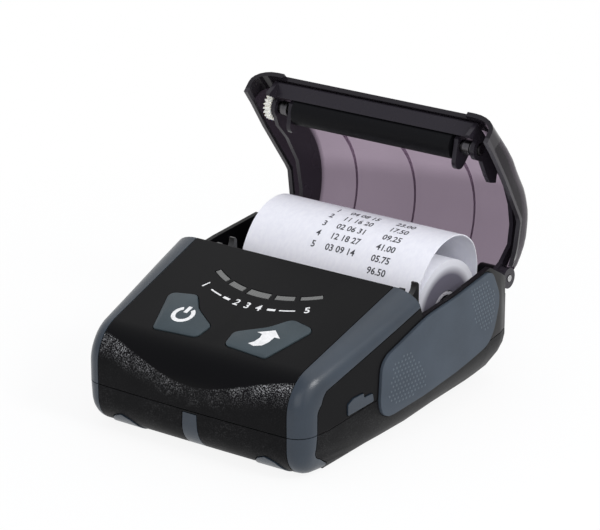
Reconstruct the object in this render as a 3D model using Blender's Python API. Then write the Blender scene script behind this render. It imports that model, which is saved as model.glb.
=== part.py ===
"""Portable receipt printer: a hand-held case, a paper bin and a hinged paper cover that carries the platen.

Metres, +Z up. The nose points to -Y and the case stands on its underside. The origin is on the underside,
half way along the case. Inside the model, places along the case are measured from the nose: the empty
case_frame carries them. The cover is drawn closed and turned open by its hinge empty.
"""

import math

import bmesh
import bpy
from mathutils import Vector

# Clearances
GAP = 0.0003
OVERRUN = 0.002
FAR = 0.08

# Case
CASE_LENGTH = 0.131
CASE_HALF_WIDTH = 0.0548
WALL = 0.002
PARTING_Z = 0.0162
SIDE_PARTING_Z = 0.0194
PARTING_RISE_Y = 0.014
PARTING_LEVEL_Y = 0.037
NOSE_LOWER_R = 0.011
NOSE_UPPER_R = 0.015
NOSE_BOW = 0.0006
PANEL_ANGLE = math.radians(17.13)
PANEL_REAR_Y = 0.0613
PANEL_REAR_Z = 0.0537
SOLE_REAR_R = 0.015
RIM_FRONT_Z = 0.04365
RIM_BEND_SETBACK = 0.0209
RIM_BEND_Y = CASE_LENGTH - RIM_BEND_SETBACK
RIM_BEND_Z = 0.0484
RIM_REAR_SETBACK = 0.004
RIM_REAR_Y = CASE_LENGTH - RIM_REAR_SETBACK
RIM_REAR_Z = 0.0391
BACK_WALL_Z = 0.033
BELLY_HEIGHT = 0.017
BELLY_FRONT_INSET = 0.0035
BELLY_REAR_INSET = 0.0135
BELLY_FRONT_Y = 0.008
BELLY_REAR_SETBACK = 0.046
BELLY_REAR_Y = CASE_LENGTH - BELLY_REAR_SETBACK
BELLY_POWER = 1.5
CAVITY_STEP = 0.0012
CAVITY_STEP_Y = PANEL_REAR_Y + CAVITY_STEP
# Half widths of the case from nose to back, as shares of its length and of its half width
SIDE_SHARES = (
    (-0.03, 0.885),
    (0.061, 0.896),
    (0.23, 0.938),
    (0.366, 0.971),
    (0.496, 0.9964),
    (0.65, 1.0),
    (0.84, 0.9745),
    (0.916, 0.951),
    (0.962, 0.92),
    (0.9885, 0.867),
    (1.03, 0.73),
)
BELLY_LEVEL_SHARES = (1.0, 0.9, 0.7, 0.45, 0.2, 0.0)
BOW_SHARES = (-1.0, -0.66, -0.33, 0.0, 0.33, 0.66, 1.0)
PANEL_STATION_SHARES = (1.0, 0.8, 0.6, 0.4)
NOSE_STEPS = 9

# Print line and paper: the roll fills the room between the platen and the back
PLATEN_SETBACK = 0.0137
PLATEN_Y = PANEL_REAR_Y + PLATEN_SETBACK
PLATEN_Z = 0.0488
PLATEN_R = 0.0055
PAPER_INSET = 0.01505
PAPER_HALF_WIDTH = CASE_HALF_WIDTH - PAPER_INSET
CHASSIS_INSET = 0.0144
CHASSIS_X = CASE_HALF_WIDTH - CHASSIS_INSET
ROLL_FRONT_ROOM = 0.006
ROLL_REAR_ROOM = 0.009
ROLL_R = (CASE_LENGTH - PLATEN_Y - ROLL_FRONT_ROOM - ROLL_REAR_ROOM) / 2
ROLL_Y = PLATEN_Y + ROLL_FRONT_ROOM + ROLL_R
ROLL_Z = 0.030
CORE_R = 0.0085
CORE_T = 0.0012
TAIL_T = 0.0004
TAIL_STEPS = 4

# Soft corner bumpers
BUMPER_T = 0.0018
BUMPER_WIDTH_NOSE = 0.0129
BUMPER_WIDTH_REAR = 0.0105
BUMPER_INNER_NOSE_X = CASE_HALF_WIDTH - BUMPER_WIDTH_NOSE
BUMPER_INNER_REAR_X = CASE_HALF_WIDTH - BUMPER_WIDTH_REAR
BUMPER_DEPTH_REAR = 0.0065
BUMPER_DEPTH_PANEL = 0.0072
BUMPER_DEPTH_CORNER = 0.0092
BUMPER_DEPTH_NOSE = 0.008
BUMPER_DEPTH_SOLE = 0.006
BUMPER_DEPTH_END = 0.0026
BUMPER_CORNER_ANGLE = math.radians(55)
BUMPER_SOLE_END_Y = 0.016
BUMPER_SIDES = 8

# Trim on the nose and the sole
STRIP_TOP_Z = 0.0152
STRIP_TOP_WIDTH = 0.006
STRIP_FOOT_WIDTH = 0.0075
STRIP_T = 0.0011
STRIP_END_Y = 0.0135
FOOT_INSET = 0.0099
FOOT_X = BUMPER_INNER_NOSE_X - FOOT_INSET
FOOT_R = 0.0063
FOOT_PROUD = 0.0004
FOOT_DEPTH = 0.0011
FOOT_TOP_ANGLE = math.radians(114)
FRONT_FOOT_END_Y = 0.0185
REAR_FOOT_INSET = 0.0263
REAR_FOOT_SETBACK = 0.0225
REAR_FOOT_X = CASE_HALF_WIDTH - REAR_FOOT_INSET
REAR_FOOT_Y = CASE_LENGTH - REAR_FOOT_SETBACK
REAR_FOOT_R = 0.0055

# Side grip pads
PAD_PROUD = 0.0009
PAD_DEPTH = 0.0008
PAD_HEIGHT = 0.0378
PAD_Y = 0.0397
PAD_SETBACK = 0.0128
PAD_LENGTH = CASE_LENGTH - PAD_Y - PAD_SETBACK
PAD_Z = 0.0098
# Pad corners from its front lower corner: share along, share up, corner radius share of the height
PAD_CORNER_SHARES = (
    (0.0, 0.0, 0.21),
    (0.92, 0.25, 0.34),
    (1.0, 0.66, 0.24),
    (0.90, 1.0, 0.17),
    (0.335, 0.885, 0.9),
    (0.02, 0.64, 0.20),
)

# Keys on the panel
KEY_X = 0.0186
KEY_Y = 0.0205
KEY_SPAN = 0.0273
KEY_PROUD = 0.0007
KEY_TRAVEL = 0.0008
KEY_FLANGE_T = 0.0008
KEY_CLEARANCE = 0.0003
KEY_TOP_SHARE = 0.94
KEY_FLANGE_SHARE = 1.1
# Key corners about its centre: across, up the panel, corner radius, all as shares of the key's span
KEY_CORNER_SHARES = (
    (-0.227, -0.384, 0.058),
    (-0.502, 0.366, 0.095),
    (-0.095, 0.450, 0.11),
    (0.106, 0.195, 0.44),
    (0.498, -0.061, 0.08),
    (0.454, -0.334, 0.088),
)

# Indicator windows on an arc across the panel
LIGHT_ARC_R = 0.0424
LIGHT_ARC_REACH = 0.0198
LIGHT_ARC_Y = PANEL_REAR_Y + LIGHT_ARC_REACH
LIGHT_LENGTH = 0.008
LIGHT_DEPTH = 0.0034
LIGHT_ANGLES = (-28.0, -14.5, 0.0, 14.5, 28.0)
LIGHT_WIDTHS = (0.0020, 0.0024, 0.0029, 0.0024, 0.0020)
LIGHT_LENGTH_SHARES = (1.0, 0.92, 1.17, 0.92, 1.0)
LED_SIZE = 0.0016

# Key board
KEY_BOARD_DROP = 0.0074
KEY_BOARD_T = 0.001
KEY_BOARD_FRONT_Y = 0.0185
KEY_BOARD_REAR_Y = 0.051
KEY_BOARD_INSET = 0.0208
KEY_BOARD_HALF_X = CASE_HALF_WIDTH - KEY_BOARD_INSET
SWITCH_SIZE = 0.006
SWITCH_H = 0.0014
SWITCH_CAP_R = 0.0015
POST_R = 0.0016
POST_INSET = 0.004
POST_X = KEY_BOARD_HALF_X - POST_INSET
POST_Y = 0.046

# Main board, socket and battery
BOARD_Z = 0.0174
BOARD_T = 0.0014
BOARD_FRONT_Y = 0.0192
BOARD_REAR_Y = 0.0558
BOARD_INSET = 0.0203
BOARD_TAB_INSET = 0.0113
BOARD_HALF_X = CASE_HALF_WIDTH - BOARD_INSET
BOARD_TAB_X = CASE_HALF_WIDTH - BOARD_TAB_INSET
BOARD_TAB_Y = 0.0365
CHIP_SIZE = 0.009
CHIP_H = 0.0012
SOCKET_WIDTH = 0.0077
SOCKET_HEIGHT = 0.004
SOCKET_LENGTH = 0.0085
SOCKET_WALL = 0.0004
SOCKET_SHARES = ((-1.0, -1.0), (1.0, -1.0), (1.0, 0.0), (0.6, 1.0), (-0.6, 1.0), (-1.0, 0.0))
SOCKET_BORE_SHARE = 0.7
SOCKET_TONGUE_SHARE = 0.8
SOCKET_Y = 0.0277
BATTERY_INSET = 0.0025
BATTERY_LENGTH = 2 * (BOARD_HALF_X - BATTERY_INSET)
BATTERY_WIDTH = 0.033
BATTERY_HEIGHT = 0.0128
BATTERY_Y = 0.038
BATTERY_EDGE = 0.002
PARTITION_T = 0.0012
DOOR_LIP = 0.0022
DOOR_T = 0.002
DOOR_LIP_T = 0.001

# Port cover on the right side
PORT_Y = 0.0236
PORT_LENGTH = 0.0136
PORT_HEIGHT = 0.0062
PORT_Z = 0.0186
PORT_PROUD = 0.0004
PORT_DEPTH = 0.001
PORT_CORNER_SHARES = (
    (0.0, 0.0, 0.06),
    (0.0, 0.66, 0.12),
    (0.22, 0.92, 0.14),
    (0.61, 0.97, 0.07),
    (0.61, 0.68, 0.1),
    (0.955, 0.74, 0.12),
    (1.0, 0.24, 0.08),
)
MOUTH_CLEARANCE = 0.0006

# Hinge of the paper cover
HINGE_SETBACK = 0.0009
HINGE_Y = CASE_LENGTH - HINGE_SETBACK
HINGE_Z = 0.0374
LID_OPEN = math.radians(61.5)
KNUCKLE_R = 0.004
LUG_R = 0.0036
LUG_WIDTH = 0.0069
LUG_GAP = 0.0004
CHEEK_INSET = 0.0109
CHEEK_X = CASE_HALF_WIDTH - CHEEK_INSET
LUG_X = CHEEK_X - LUG_GAP - LUG_WIDTH
HINGE_PIN_R = 0.0013
PIN_CLEARANCE = 0.0002
KNUCKLE_WIDTH = 0.0054
KNUCKLE_OUT_X = CHEEK_X + KNUCKLE_WIDTH

# Paper cover shell
LID_FRONT_Y = 0.0637
LID_FRONT_Z = 0.0543
LID_CROWN_LEAD = 0.0025
LID_CROWN_LIFT = 0.0008
LID_CROWN_ROOM = 0.0115
LID_CROWN_Y = ROLL_Y + LID_CROWN_LEAD
LID_CROWN_Z = ROLL_Z + LID_CROWN_LIFT
LID_CROWN_R = ROLL_R + LID_CROWN_ROOM
LID_END_ANGLE = math.radians(70)
LID_T = 0.0018
LID_TOP_X = CASE_HALF_WIDTH - BUMPER_WIDTH_REAR
LID_CORNER_DEPTH = 0.0062
LID_CROWN_INSET = 0.0045
LID_CROWN_DEPTH = 0.0104
LID_EAR_INSET = 0.0032
LID_EAR_X = LID_TOP_X - LID_EAR_INSET
LID_EAR = 0.0018
LID_RIM_GAP = 0.0004
RIB_X = 0.027
RIB_T = 0.0012
RIB_DEPTH = 0.0016
RIB_LEAD = 0.008
RIB_FRONT_Y = PLATEN_Y + RIB_LEAD
LID_ROWS_FLAT = 5
LID_ROWS_CROWN = 11
LID_ROUND_SHARES = (1.0, 0.83, 0.67, 0.5, 0.33, 0.17, 0.0)
# How far the cover's corner has grown, by share of the way from the platen to the back
LID_CORNER_SHARES = ((0.1, 0.0), (0.34, 0.8), (0.6, 1.0), (0.84, 0.75), (1.0, 0.3))

# Platen
PLATEN_SIDE_ROOM = 0.00425
PLATEN_HALF_X = PAPER_HALF_WIDTH - PLATEN_SIDE_ROOM
SHAFT_R = 0.002
SHAFT_LEFT_REACH = 0.0054
SHAFT_RIGHT_REACH = 0.0024
SHAFT_LEFT_X = -CHEEK_X - SHAFT_LEFT_REACH
SHAFT_RIGHT_X = CHEEK_X + SHAFT_RIGHT_REACH
BEARING_SETBACK = 0.0008
BEARING_X = CHASSIS_X - BEARING_SETBACK
BEARING_WIDTH = 0.0028
BEARING_R = 0.003
CLIP_R = 0.0028
CLIP_T = 0.0007
CLIP_X = BEARING_X + BEARING_WIDTH + GAP
HOLDER_GAP = 0.0008
HOLDER_X = PLATEN_HALF_X + HOLDER_GAP
HOLDER_T = 0.0018
HOLDER_R = 0.0043
HOLDER_TIP_LEAD = 0.004
HOLDER_TIP_DROP = 0.0036
HOLDER_TIP_R = 0.0034
HOLDER_BACK_LEAD = 0.0057
HOLDER_BACK_LIFT = 0.0033
GUSSET_DROP = 0.0034
CHEEK_T = 0.0017

# Gears
MODULE = 0.0005
PLATEN_TEETH = 20
IDLER_TEETH = 32
PINION_TEETH = 12
GEAR_WIDTH = 0.0025
GEAR_X = -CHEEK_X - CHEEK_T - GAP - GEAR_WIDTH
MESH_SLACK = 0.0002
GEAR_BORE_R = 0.0023
# A tooth's outline: heights over the pitch circle as shares of the module, and shares of the pitch
TOOTH_SHARES = ((-1.25, -0.36), (0.0, -0.235), (1.0, -0.11), (1.0, 0.11), (0.0, 0.235), (-1.25, 0.36))
IDLER_DIRECTION = math.radians(258)
PINION_SETBACK = 0.0108
PINION_Y = PLATEN_Y - PINION_SETBACK

# Print mechanism
STAND_X = CHASSIS_X - GAP
CHASSIS_PLATE_T = 0.0018
CHASSIS_T = 0.0018
CHASSIS_FLOOR_Z = 0.0225
CHASSIS_FRONT_SETBACK = 0.0195
CHASSIS_REAR_SETBACK = 0.0025
CHASSIS_TOP_SETBACK = 0.0145
CHASSIS_FRONT_Y = PLATEN_Y - CHASSIS_FRONT_SETBACK
CHASSIS_REAR_Y = PLATEN_Y - CHASSIS_REAR_SETBACK
CHASSIS_CHIN_Z = 0.0445
CHASSIS_TOP_Y = PLATEN_Y - CHASSIS_TOP_SETBACK
CHASSIS_TOP_Z = PLATEN_Z
NIP_ANGLE = math.radians(45)
HEAD_WIDTH = 0.009
HEAD_T = 0.0007
HEAD_LEAD = 0.0013
SINK_T = 0.0013
HEAD_SIDE_ROOM = 0.0011
HEAD_HALF_X = CHASSIS_X - HEAD_SIDE_ROOM
NOTCH_CLEARANCE = 0.0005
NOTCH_WALL = 0.0018
NOTCH_LIFT = 0.0007
NOTCH_DROP = 0.0087
NOTCH_TOP_Z = PLATEN_Z + NOTCH_LIFT
NOTCH_FOOT_Z = PLATEN_Z - NOTCH_DROP
TEAR_T = 0.0007
TEAR_SIDE_ROOM = 0.0009
TEAR_HALF_X = CHASSIS_X - TEAR_SIDE_ROOM
MOTOR_R = 0.0062
MOTOR_LENGTH = 0.0175
MOTOR_SHAFT_R = 0.001
SENSOR_SIZE = 0.004

# Paper bin
BIN_CLEARANCE = 0.0011
BIN_T = 0.0016
PAPER_SIDE_ROOM = 0.00125
BIN_HALF_X = PAPER_HALF_WIDTH + PAPER_SIDE_ROOM
BIN_FRONT_Z = 0.0358
BIN_REAR_Z = 0.0372
DECK_Z = 0.0364
DECK_T = 0.0016
DECK_FRONT_SHARE = 0.878
DECK_REAR_SHARE = 0.976
DECK_SHARES = (0.0, 0.35, 0.7, 1.0)
DECK_FRONT_Y = ROLL_Y - DECK_FRONT_SHARE * ROLL_R
DECK_REAR_Y = ROLL_Y + DECK_REAR_SHARE * ROLL_R

# Screws
SCREW_R = 0.0012
SCREW_HEAD_R = 0.0025
SCREW_HEAD_H = 0.0013
SCREW_SINK = 0.0003
BOSS_R = 0.0029
FRONT_SCREW_INSET = 0.0168
FRONT_SCREW_X = CASE_HALF_WIDTH - FRONT_SCREW_INSET
FRONT_SCREW_Y = 0.040
REAR_SCREW_INSET = 0.006
REAR_SCREW_SHARE = 0.6585
REAR_SCREW_X = BIN_HALF_X - REAR_SCREW_INSET
REAR_SCREW_Y = ROLL_Y + REAR_SCREW_SHARE * ROLL_R
SCREW_LENGTH = 0.0095

scene_objects = bpy.context.scene.collection.objects


def clear_scene():
    for old in list(bpy.data.objects):
        bpy.data.objects.remove(old, do_unlink=True)


def lerp(a, b, t):
    return a + (b - a) * t


def empty(name, place, parent=None, turn=0.0):
    """An empty at a place given in its parent's space, turned about X."""
    guide = bpy.data.objects.new(name, None)
    guide.location = place
    guide.rotation_euler = (turn, 0.0, 0.0)
    guide.parent = parent
    scene_objects.link(guide)
    return guide


def solid(name, rings, closed_loop=False, strip_caps=False):
    """Closed mesh through rings of equal point counts.

    A closed loop of rings needs no caps. Strip caps join the two halves of an end ring across a wall.
    """
    count = len(rings[0])
    points = [tuple(p) for ring in rings for p in ring]
    faces = []
    spans = len(rings) if closed_loop else len(rings) - 1
    for r in range(spans):
        a = r * count
        b = ((r + 1) % len(rings)) * count
        for k in range(count):
            n = (k + 1) % count
            faces.append((a + k, a + n, b + n, b + k))
    if strip_caps:
        for first in (0, len(points) - count):
            for k in range(count // 2 - 1):
                mate = count - 1 - k
                faces.append((first + k, first + k + 1, first + mate - 1, first + mate))
    elif not closed_loop:
        faces.append(tuple(range(count)))
        faces.append(tuple(len(points) - 1 - k for k in range(count)))
    mesh = bpy.data.meshes.new(name)
    mesh.from_pydata(points, [], faces)
    body = bmesh.new()
    body.from_mesh(mesh)
    bmesh.ops.recalc_face_normals(body, faces=body.faces)
    body.to_mesh(mesh)
    body.free()
    piece = bpy.data.objects.new(name, mesh)
    scene_objects.link(piece)
    return piece


def prism_x(name, outline, x_low, x_high):
    """An outline in the YZ plane, run along X."""
    return solid(name, [[(x, y, z) for y, z in outline] for x in (x_low, x_high)])


def prism_z(name, outline, z_low, z_high):
    """An outline in the XY plane, run along Z."""
    return solid(name, [[(x, y, z) for x, y in outline] for z in (z_low, z_high)])


def block(name, low, high):
    outline = [(low[0], low[1]), (high[0], low[1]), (high[0], high[1]), (low[0], high[1])]
    return prism_z(name, outline, low[2], high[2])


def arc(centre, radius, start, end, steps):
    """Points on an arc; angles in radians from the first axis towards the second."""
    return [
        (centre[0] + radius * math.cos(lerp(start, end, i / steps)),
         centre[1] + radius * math.sin(lerp(start, end, i / steps)))
        for i in range(steps + 1)
    ]


def circle(centre, radius, sides):
    return arc(centre, radius, 0.0, math.tau * (sides - 1) / sides, sides - 1)


def turned_x(name, centre, stations, sides):
    """A turned solid about an axis along X: stations are (x, radius) from end to end."""
    rings = []
    for x, radius in stations:
        rings.append([(x, y, z) for y, z in circle(centre, radius, sides)])
    return solid(name, rings)


def tube_x(name, centre, x_low, x_high, outer, inner, sides):
    rings = []
    for x, radius in ((x_low, outer), (x_high, outer), (x_high, inner), (x_low, inner)):
        rings.append([(x, y, z) for y, z in circle(centre, radius, sides)])
    return solid(name, rings, closed_loop=True)


def turned_z(name, centre, stations, sides):
    """A turned solid about an upright axis: stations are (z, radius) from end to end."""
    return solid(name, [[(x, y, z) for x, y in circle(centre, radius, sides)] for z, radius in stations])


def rounded(corners, steps=4):
    """An outline with its corners rounded; each corner is (u, v, radius)."""
    outline = []
    count = len(corners)
    for i, (u, v, radius) in enumerate(corners):
        here = Vector((u, v))
        back = Vector(corners[i - 1][:2]) - here
        ahead = Vector(corners[(i + 1) % count][:2]) - here
        half = back.angle(ahead) / 2
        reach = radius / math.tan(half)
        start = here + back.normalized() * reach
        end = here + ahead.normalized() * reach
        centre = here + (back.normalized() + ahead.normalized()).normalized() * radius / math.sin(half)
        first = start - centre
        sweep = first.angle_signed(end - centre)
        for k in range(steps + 1):
            turn = -sweep * k / steps
            outline.append((
                centre.x + first.x * math.cos(turn) - first.y * math.sin(turn),
                centre.y + first.x * math.sin(turn) + first.y * math.cos(turn),
            ))
    return outline


def offset_outline(outline, amount):
    """An outline pushed outwards by an amount along its local normals; it runs anticlockwise."""
    area = sum(a[0] * b[1] - b[0] * a[1] for a, b in zip(outline, outline[1:] + outline[:1]))
    side = 1.0 if area > 0 else -1.0
    pushed = []
    count = len(outline)
    for i in range(count):
        before = Vector(outline[i - 1])
        after = Vector(outline[(i + 1) % count])
        along = (after - before).normalized()
        pushed.append((outline[i][0] + along.y * amount * side, outline[i][1] - along.x * amount * side))
    return pushed


def boolean(target, tool, operation="DIFFERENCE"):
    change = target.modifiers.new(tool.name, "BOOLEAN")
    change.operation = operation
    change.solver = "EXACT"
    change.object = tool
    tool.hide_render = True
    tool.display_type = "WIRE"
    tool.parent = tool.parent or target.parent
    return target


def place(piece, guide, base=(0.0, 0.0, 0.0)):
    """Hang a piece drawn in case places on a guide whose own case place is base, with its tools."""
    piece.parent = guide
    piece.location = [-value for value in base]
    for change in piece.modifiers:
        if change.type == "BOOLEAN":
            place(change.object, guide, base)
    return piece


def finish(piece, colour, roughness, metallic=0.0, alpha=1.0, smooth=math.radians(35)):
    """Give a piece its own material and smooth its round faces."""
    look = bpy.data.materials.new(piece.name)
    look.use_nodes = True
    shader = look.node_tree.nodes["Principled BSDF"]
    shader.inputs["Base Color"].default_value = (*colour, 1.0)
    shader.inputs["Roughness"].default_value = roughness
    shader.inputs["Metallic"].default_value = metallic
    shader.inputs["Alpha"].default_value = alpha
    piece.data.materials.append(look)
    piece.data.shade_smooth()
    piece.data.set_sharp_from_angle(angle=smooth)
    return piece


BLACK = (0.012, 0.012, 0.013)
SOFT_BLUE = (0.065, 0.085, 0.11)
SMOKE = (0.10, 0.075, 0.10)
STEEL = (0.55, 0.55, 0.56)
CREAM = (0.80, 0.78, 0.70)
PAPER = (0.86, 0.86, 0.90)
CARD = (0.45, 0.33, 0.22)
BOARD_GREEN = (0.02, 0.14, 0.06)
GREY_LENS = (0.16, 0.16, 0.155)
CERAMIC = (0.16, 0.10, 0.07)
ALUMINIUM = (0.6, 0.61, 0.62)
CELL_BLUE = (0.03, 0.05, 0.12)
RUBBER = (0.02, 0.02, 0.021)


def interpolate(table, key):
    """Value of a table of (key, value) rows, straight between rows."""
    if key <= table[0][0]:
        return table[0][1]
    for (k0, v0), (k1, v1) in zip(table, table[1:]):
        if key <= k1:
            return lerp(v0, v1, (key - k0) / (k1 - k0))
    return table[-1][1]


def belly_inset(y):
    share = (y - BELLY_FRONT_Y) / (BELLY_REAR_Y - BELLY_FRONT_Y)
    return lerp(BELLY_FRONT_INSET, BELLY_REAR_INSET, min(max(share, 0.0), 1.0))


def half_width(y, z, inset=0.0):
    """Half width of the case at a place: straight sides above, drawn in towards the sole below."""
    width = interpolate(SIDE_SHARES, y / CASE_LENGTH) * CASE_HALF_WIDTH
    drop = min(max((BELLY_HEIGHT - z) / BELLY_HEIGHT, 0.0), 1.0)
    tuck = 1.0 - (1.0 - drop**BELLY_POWER) ** (1.0 / BELLY_POWER)
    return width - belly_inset(y) * tuck - inset


def panel_z(y):
    return PANEL_REAR_Z - (PANEL_REAR_Y - y) * math.tan(PANEL_ANGLE)


def step_y(z):
    """The face where the panel steps down to the rim, square to the panel."""
    return PANEL_REAR_Y + (PANEL_REAR_Z - z) * math.tan(PANEL_ANGLE)


def rim_z(y):
    rows = ((step_y(RIM_FRONT_Z), RIM_FRONT_Z), (RIM_BEND_Y, RIM_BEND_Z), (RIM_REAR_Y, RIM_REAR_Z))
    return interpolate(rows, y)


def parting_z(y):
    return interpolate(((PARTING_RISE_Y, PARTING_Z), (PARTING_LEVEL_Y, SIDE_PARTING_Z)), y)


def bow(x, forward):
    """How far the nose bulges ahead at x, for a surface that faces forward by the given share."""
    share = min(abs(x) / BUMPER_INNER_NOSE_X, 1.0)
    return NOSE_BOW * (1.0 - share * share) * max(forward, 0.0)


class Station:
    """A place on the nose profile: its point, and its outward normal at an angle from straight up."""

    def __init__(self, y, z, angle):
        self.y = y
        self.z = z
        self.angle = angle
        self.ny = -math.sin(angle)
        self.nz = math.cos(angle)

    def at(self, x, depth):
        """The point at x, a depth under the surface."""
        return (x, self.y - self.ny * depth - bow(x, -self.ny), self.z - self.nz * depth)


def upper_stations():
    """From the panel's rear edge down the panel and round the nose to the parting line."""
    stations = [
        Station(PANEL_REAR_Y * share, panel_z(PANEL_REAR_Y * share), PANEL_ANGLE)
        for share in PANEL_STATION_SHARES
    ]
    centre_z = panel_z(NOSE_UPPER_R) - NOSE_UPPER_R / math.cos(PANEL_ANGLE)
    for i in range(NOSE_STEPS + 1):
        angle = lerp(PANEL_ANGLE, math.pi / 2, i / NOSE_STEPS)
        y = NOSE_UPPER_R * (1.0 - math.sin(angle))
        stations.append(Station(y, centre_z + NOSE_UPPER_R * math.cos(angle), angle))
    return stations


def lower_stations(first_angle=math.pi / 2):
    """Round the lower nose, down to the sole."""
    stations = []
    for i in range(NOSE_STEPS + 1):
        angle = lerp(first_angle, math.pi, i / NOSE_STEPS)
        y = NOSE_LOWER_R * (1.0 - math.sin(angle))
        stations.append(Station(y, NOSE_LOWER_R * (1.0 + math.cos(angle)), angle))
    return stations


def side_block(name, inset=0.0):
    """The case's sides alone: sections across the case from ahead of the nose to behind the back."""
    levels = [BELLY_HEIGHT * (1.0 - share) for share in BELLY_LEVEL_SHARES]
    rings = []
    for along, _ in SIDE_SHARES:
        y = along * CASE_LENGTH
        right = [(half_width(y, z, inset), z) for z in levels]
        right = [(right[0][0], -OVERRUN)] + right + [(right[-1][0], FAR)]
        ring = [(x, y, z) for x, z in right] + [(-x, y, z) for x, z in reversed(right)]
        rings.append(ring)
    return solid(name, rings)


def case_profile():
    """The case seen from the side, as points with the share by which each faces forward."""
    points = [(s.y, s.z, -s.ny) for s in upper_stations()]
    points.append((0.0, PARTING_Z, 1.0))
    points += [(s.y, s.z, -s.ny) for s in lower_stations()]
    back = CASE_LENGTH
    sole = arc((back - SOLE_REAR_R, SOLE_REAR_R), SOLE_REAR_R, -math.pi / 2, 0.0, NOSE_STEPS)
    points += [(y, z, 0.0) for y, z in sole]
    points.append((back, BACK_WALL_Z, 0.0))
    points.append((RIM_REAR_Y, RIM_REAR_Z, 0.0))
    points.append((RIM_BEND_Y, RIM_BEND_Z, 0.0))
    points.append((step_y(RIM_FRONT_Z), RIM_FRONT_Z, 0.0))
    return points


def profile_block(name):
    """The side view run across the case, with the nose bowed."""
    places = [-CASE_HALF_WIDTH - OVERRUN] + [s * BUMPER_INNER_NOSE_X for s in BOW_SHARES]
    places.append(CASE_HALF_WIDTH + OVERRUN)
    rings = []
    for x in places:
        rings.append([(x, y - bow(x, forward), z) for y, z, forward in case_profile()])
    return solid(name, rings)


def parting_tool(name, shift, far_z):
    """Everything above or below the parting surface, moved by half a gap."""
    outline = [
        (-FAR, PARTING_Z + shift),
        (PARTING_RISE_Y, PARTING_Z + shift),
        (PARTING_LEVEL_Y, SIDE_PARTING_Z + shift),
        (CASE_LENGTH + FAR, SIDE_PARTING_Z + shift),
        (CASE_LENGTH + FAR, far_z),
        (-FAR, far_z),
    ]
    return prism_x(name, outline, -CASE_HALF_WIDTH - FAR, CASE_HALF_WIDTH + FAR)


def centre_cavity(name):
    """The hollow under the panel and behind the nose, between the bumpers."""
    points = []
    for station in upper_stations() + lower_stations():
        _, y, z = station.at(CASE_HALF_WIDTH, WALL)
        points.append((y, z))
    inner_back = CASE_LENGTH - WALL
    radius = SOLE_REAR_R - WALL
    points += arc((inner_back - radius, WALL + radius), radius, -math.pi / 2, 0.0, NOSE_STEPS)
    step = PANEL_REAR_Y + WALL
    points += [(inner_back, FAR), (step, FAR), (step, panel_z(PANEL_REAR_Y) - WALL)]
    half = BUMPER_INNER_NOSE_X - WALL
    return prism_x(name, points, -half, half)


def wide_cavity(name):
    """The hollow out to the side walls, clear of the thick corners that carry the bumpers."""
    depth = BUMPER_DEPTH_CORNER + WALL
    lift = depth / math.cos(PANEL_ANGLE)
    inner_back = CASE_LENGTH - WALL
    radius = SOLE_REAR_R - WALL
    points = [
        (depth, NOSE_LOWER_R),
        (BUMPER_SOLE_END_Y + WALL + WALL, WALL),
    ]
    points += arc((inner_back - radius, WALL + radius), radius, -math.pi / 2, 0.0, NOSE_STEPS)
    points += [
        (inner_back, FAR),
        (CAVITY_STEP_Y, FAR),
        (CAVITY_STEP_Y, panel_z(CAVITY_STEP_Y) - lift),
        (depth, panel_z(depth) - lift),
    ]
    hollow = prism_x(name, points, -CASE_HALF_WIDTH, CASE_HALF_WIDTH)
    return boolean(hollow, side_block(name + "_sides", WALL), "INTERSECT")


def bumper_depth(station):
    """How far the bumper reaches down the side at a place on the profile."""
    corner = ((PANEL_ANGLE, BUMPER_DEPTH_PANEL), (BUMPER_CORNER_ANGLE, BUMPER_DEPTH_CORNER))
    nose = ((math.pi / 2, BUMPER_DEPTH_NOSE), (math.pi, BUMPER_DEPTH_SOLE))
    if station.angle <= PANEL_ANGLE:
        return lerp(BUMPER_DEPTH_PANEL, BUMPER_DEPTH_REAR, station.y / PANEL_REAR_Y)
    if station.angle < math.pi:
        return interpolate(corner + nose, station.angle)
    share = (station.y - NOSE_LOWER_R) / (BUMPER_SOLE_END_Y - NOSE_LOWER_R)
    return lerp(BUMPER_DEPTH_SOLE, BUMPER_DEPTH_END, min(max(share, 0.0), 1.0))


def bumper_section(station, inward, spread):
    """Quarter round from the panel side to the flank: inward is the skin's depth, spread its clearance."""
    depth = bumper_depth(station)
    inner_x = lerp(BUMPER_INNER_NOSE_X, BUMPER_INNER_REAR_X, station.y / PANEL_REAR_Y) - spread
    _, end_y, end_z = station.at(CASE_HALF_WIDTH, depth)
    outer_x = half_width(end_y, end_z) - inward
    reach = depth + spread - inward
    section = []
    for k in range(BUMPER_SIDES + 1):
        angle = math.pi / 2 * k / BUMPER_SIDES
        x = lerp(inner_x, outer_x, math.sin(angle))
        section.append((x, inward + reach * (1.0 - math.cos(angle))))
    return section


def bumper_ring(station, side):
    skin = bumper_section(station, 0.0, 0.0)
    back = bumper_section(station, BUMPER_T, 0.0)
    back[0] = (skin[0][0], BUMPER_T)
    return [station.at(side * x, depth) for x, depth in skin + back[::-1]]


def groove_ring(station, side):
    back = bumper_section(station, BUMPER_T + GAP, GAP)
    far_x = CASE_HALF_WIDTH + OVERRUN
    corners = back + [(far_x, back[-1][1]), (far_x, -OVERRUN), (back[0][0], -OVERRUN)]
    return [station.at(side * x, depth) for x, depth in corners]


def sole_station(y):
    return Station(y, 0.0, math.pi)


def bumper(name, side, upper):
    seam = PARTING_Z + (GAP / 2 if upper else -GAP / 2)
    if upper:
        stations = upper_stations() + [Station(0.0, seam, math.pi / 2)]
    else:
        stations = [Station(0.0, seam, math.pi / 2)] + lower_stations() + [sole_station(BUMPER_SOLE_END_Y)]
    return solid(name, [bumper_ring(s, side) for s in stations])


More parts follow.
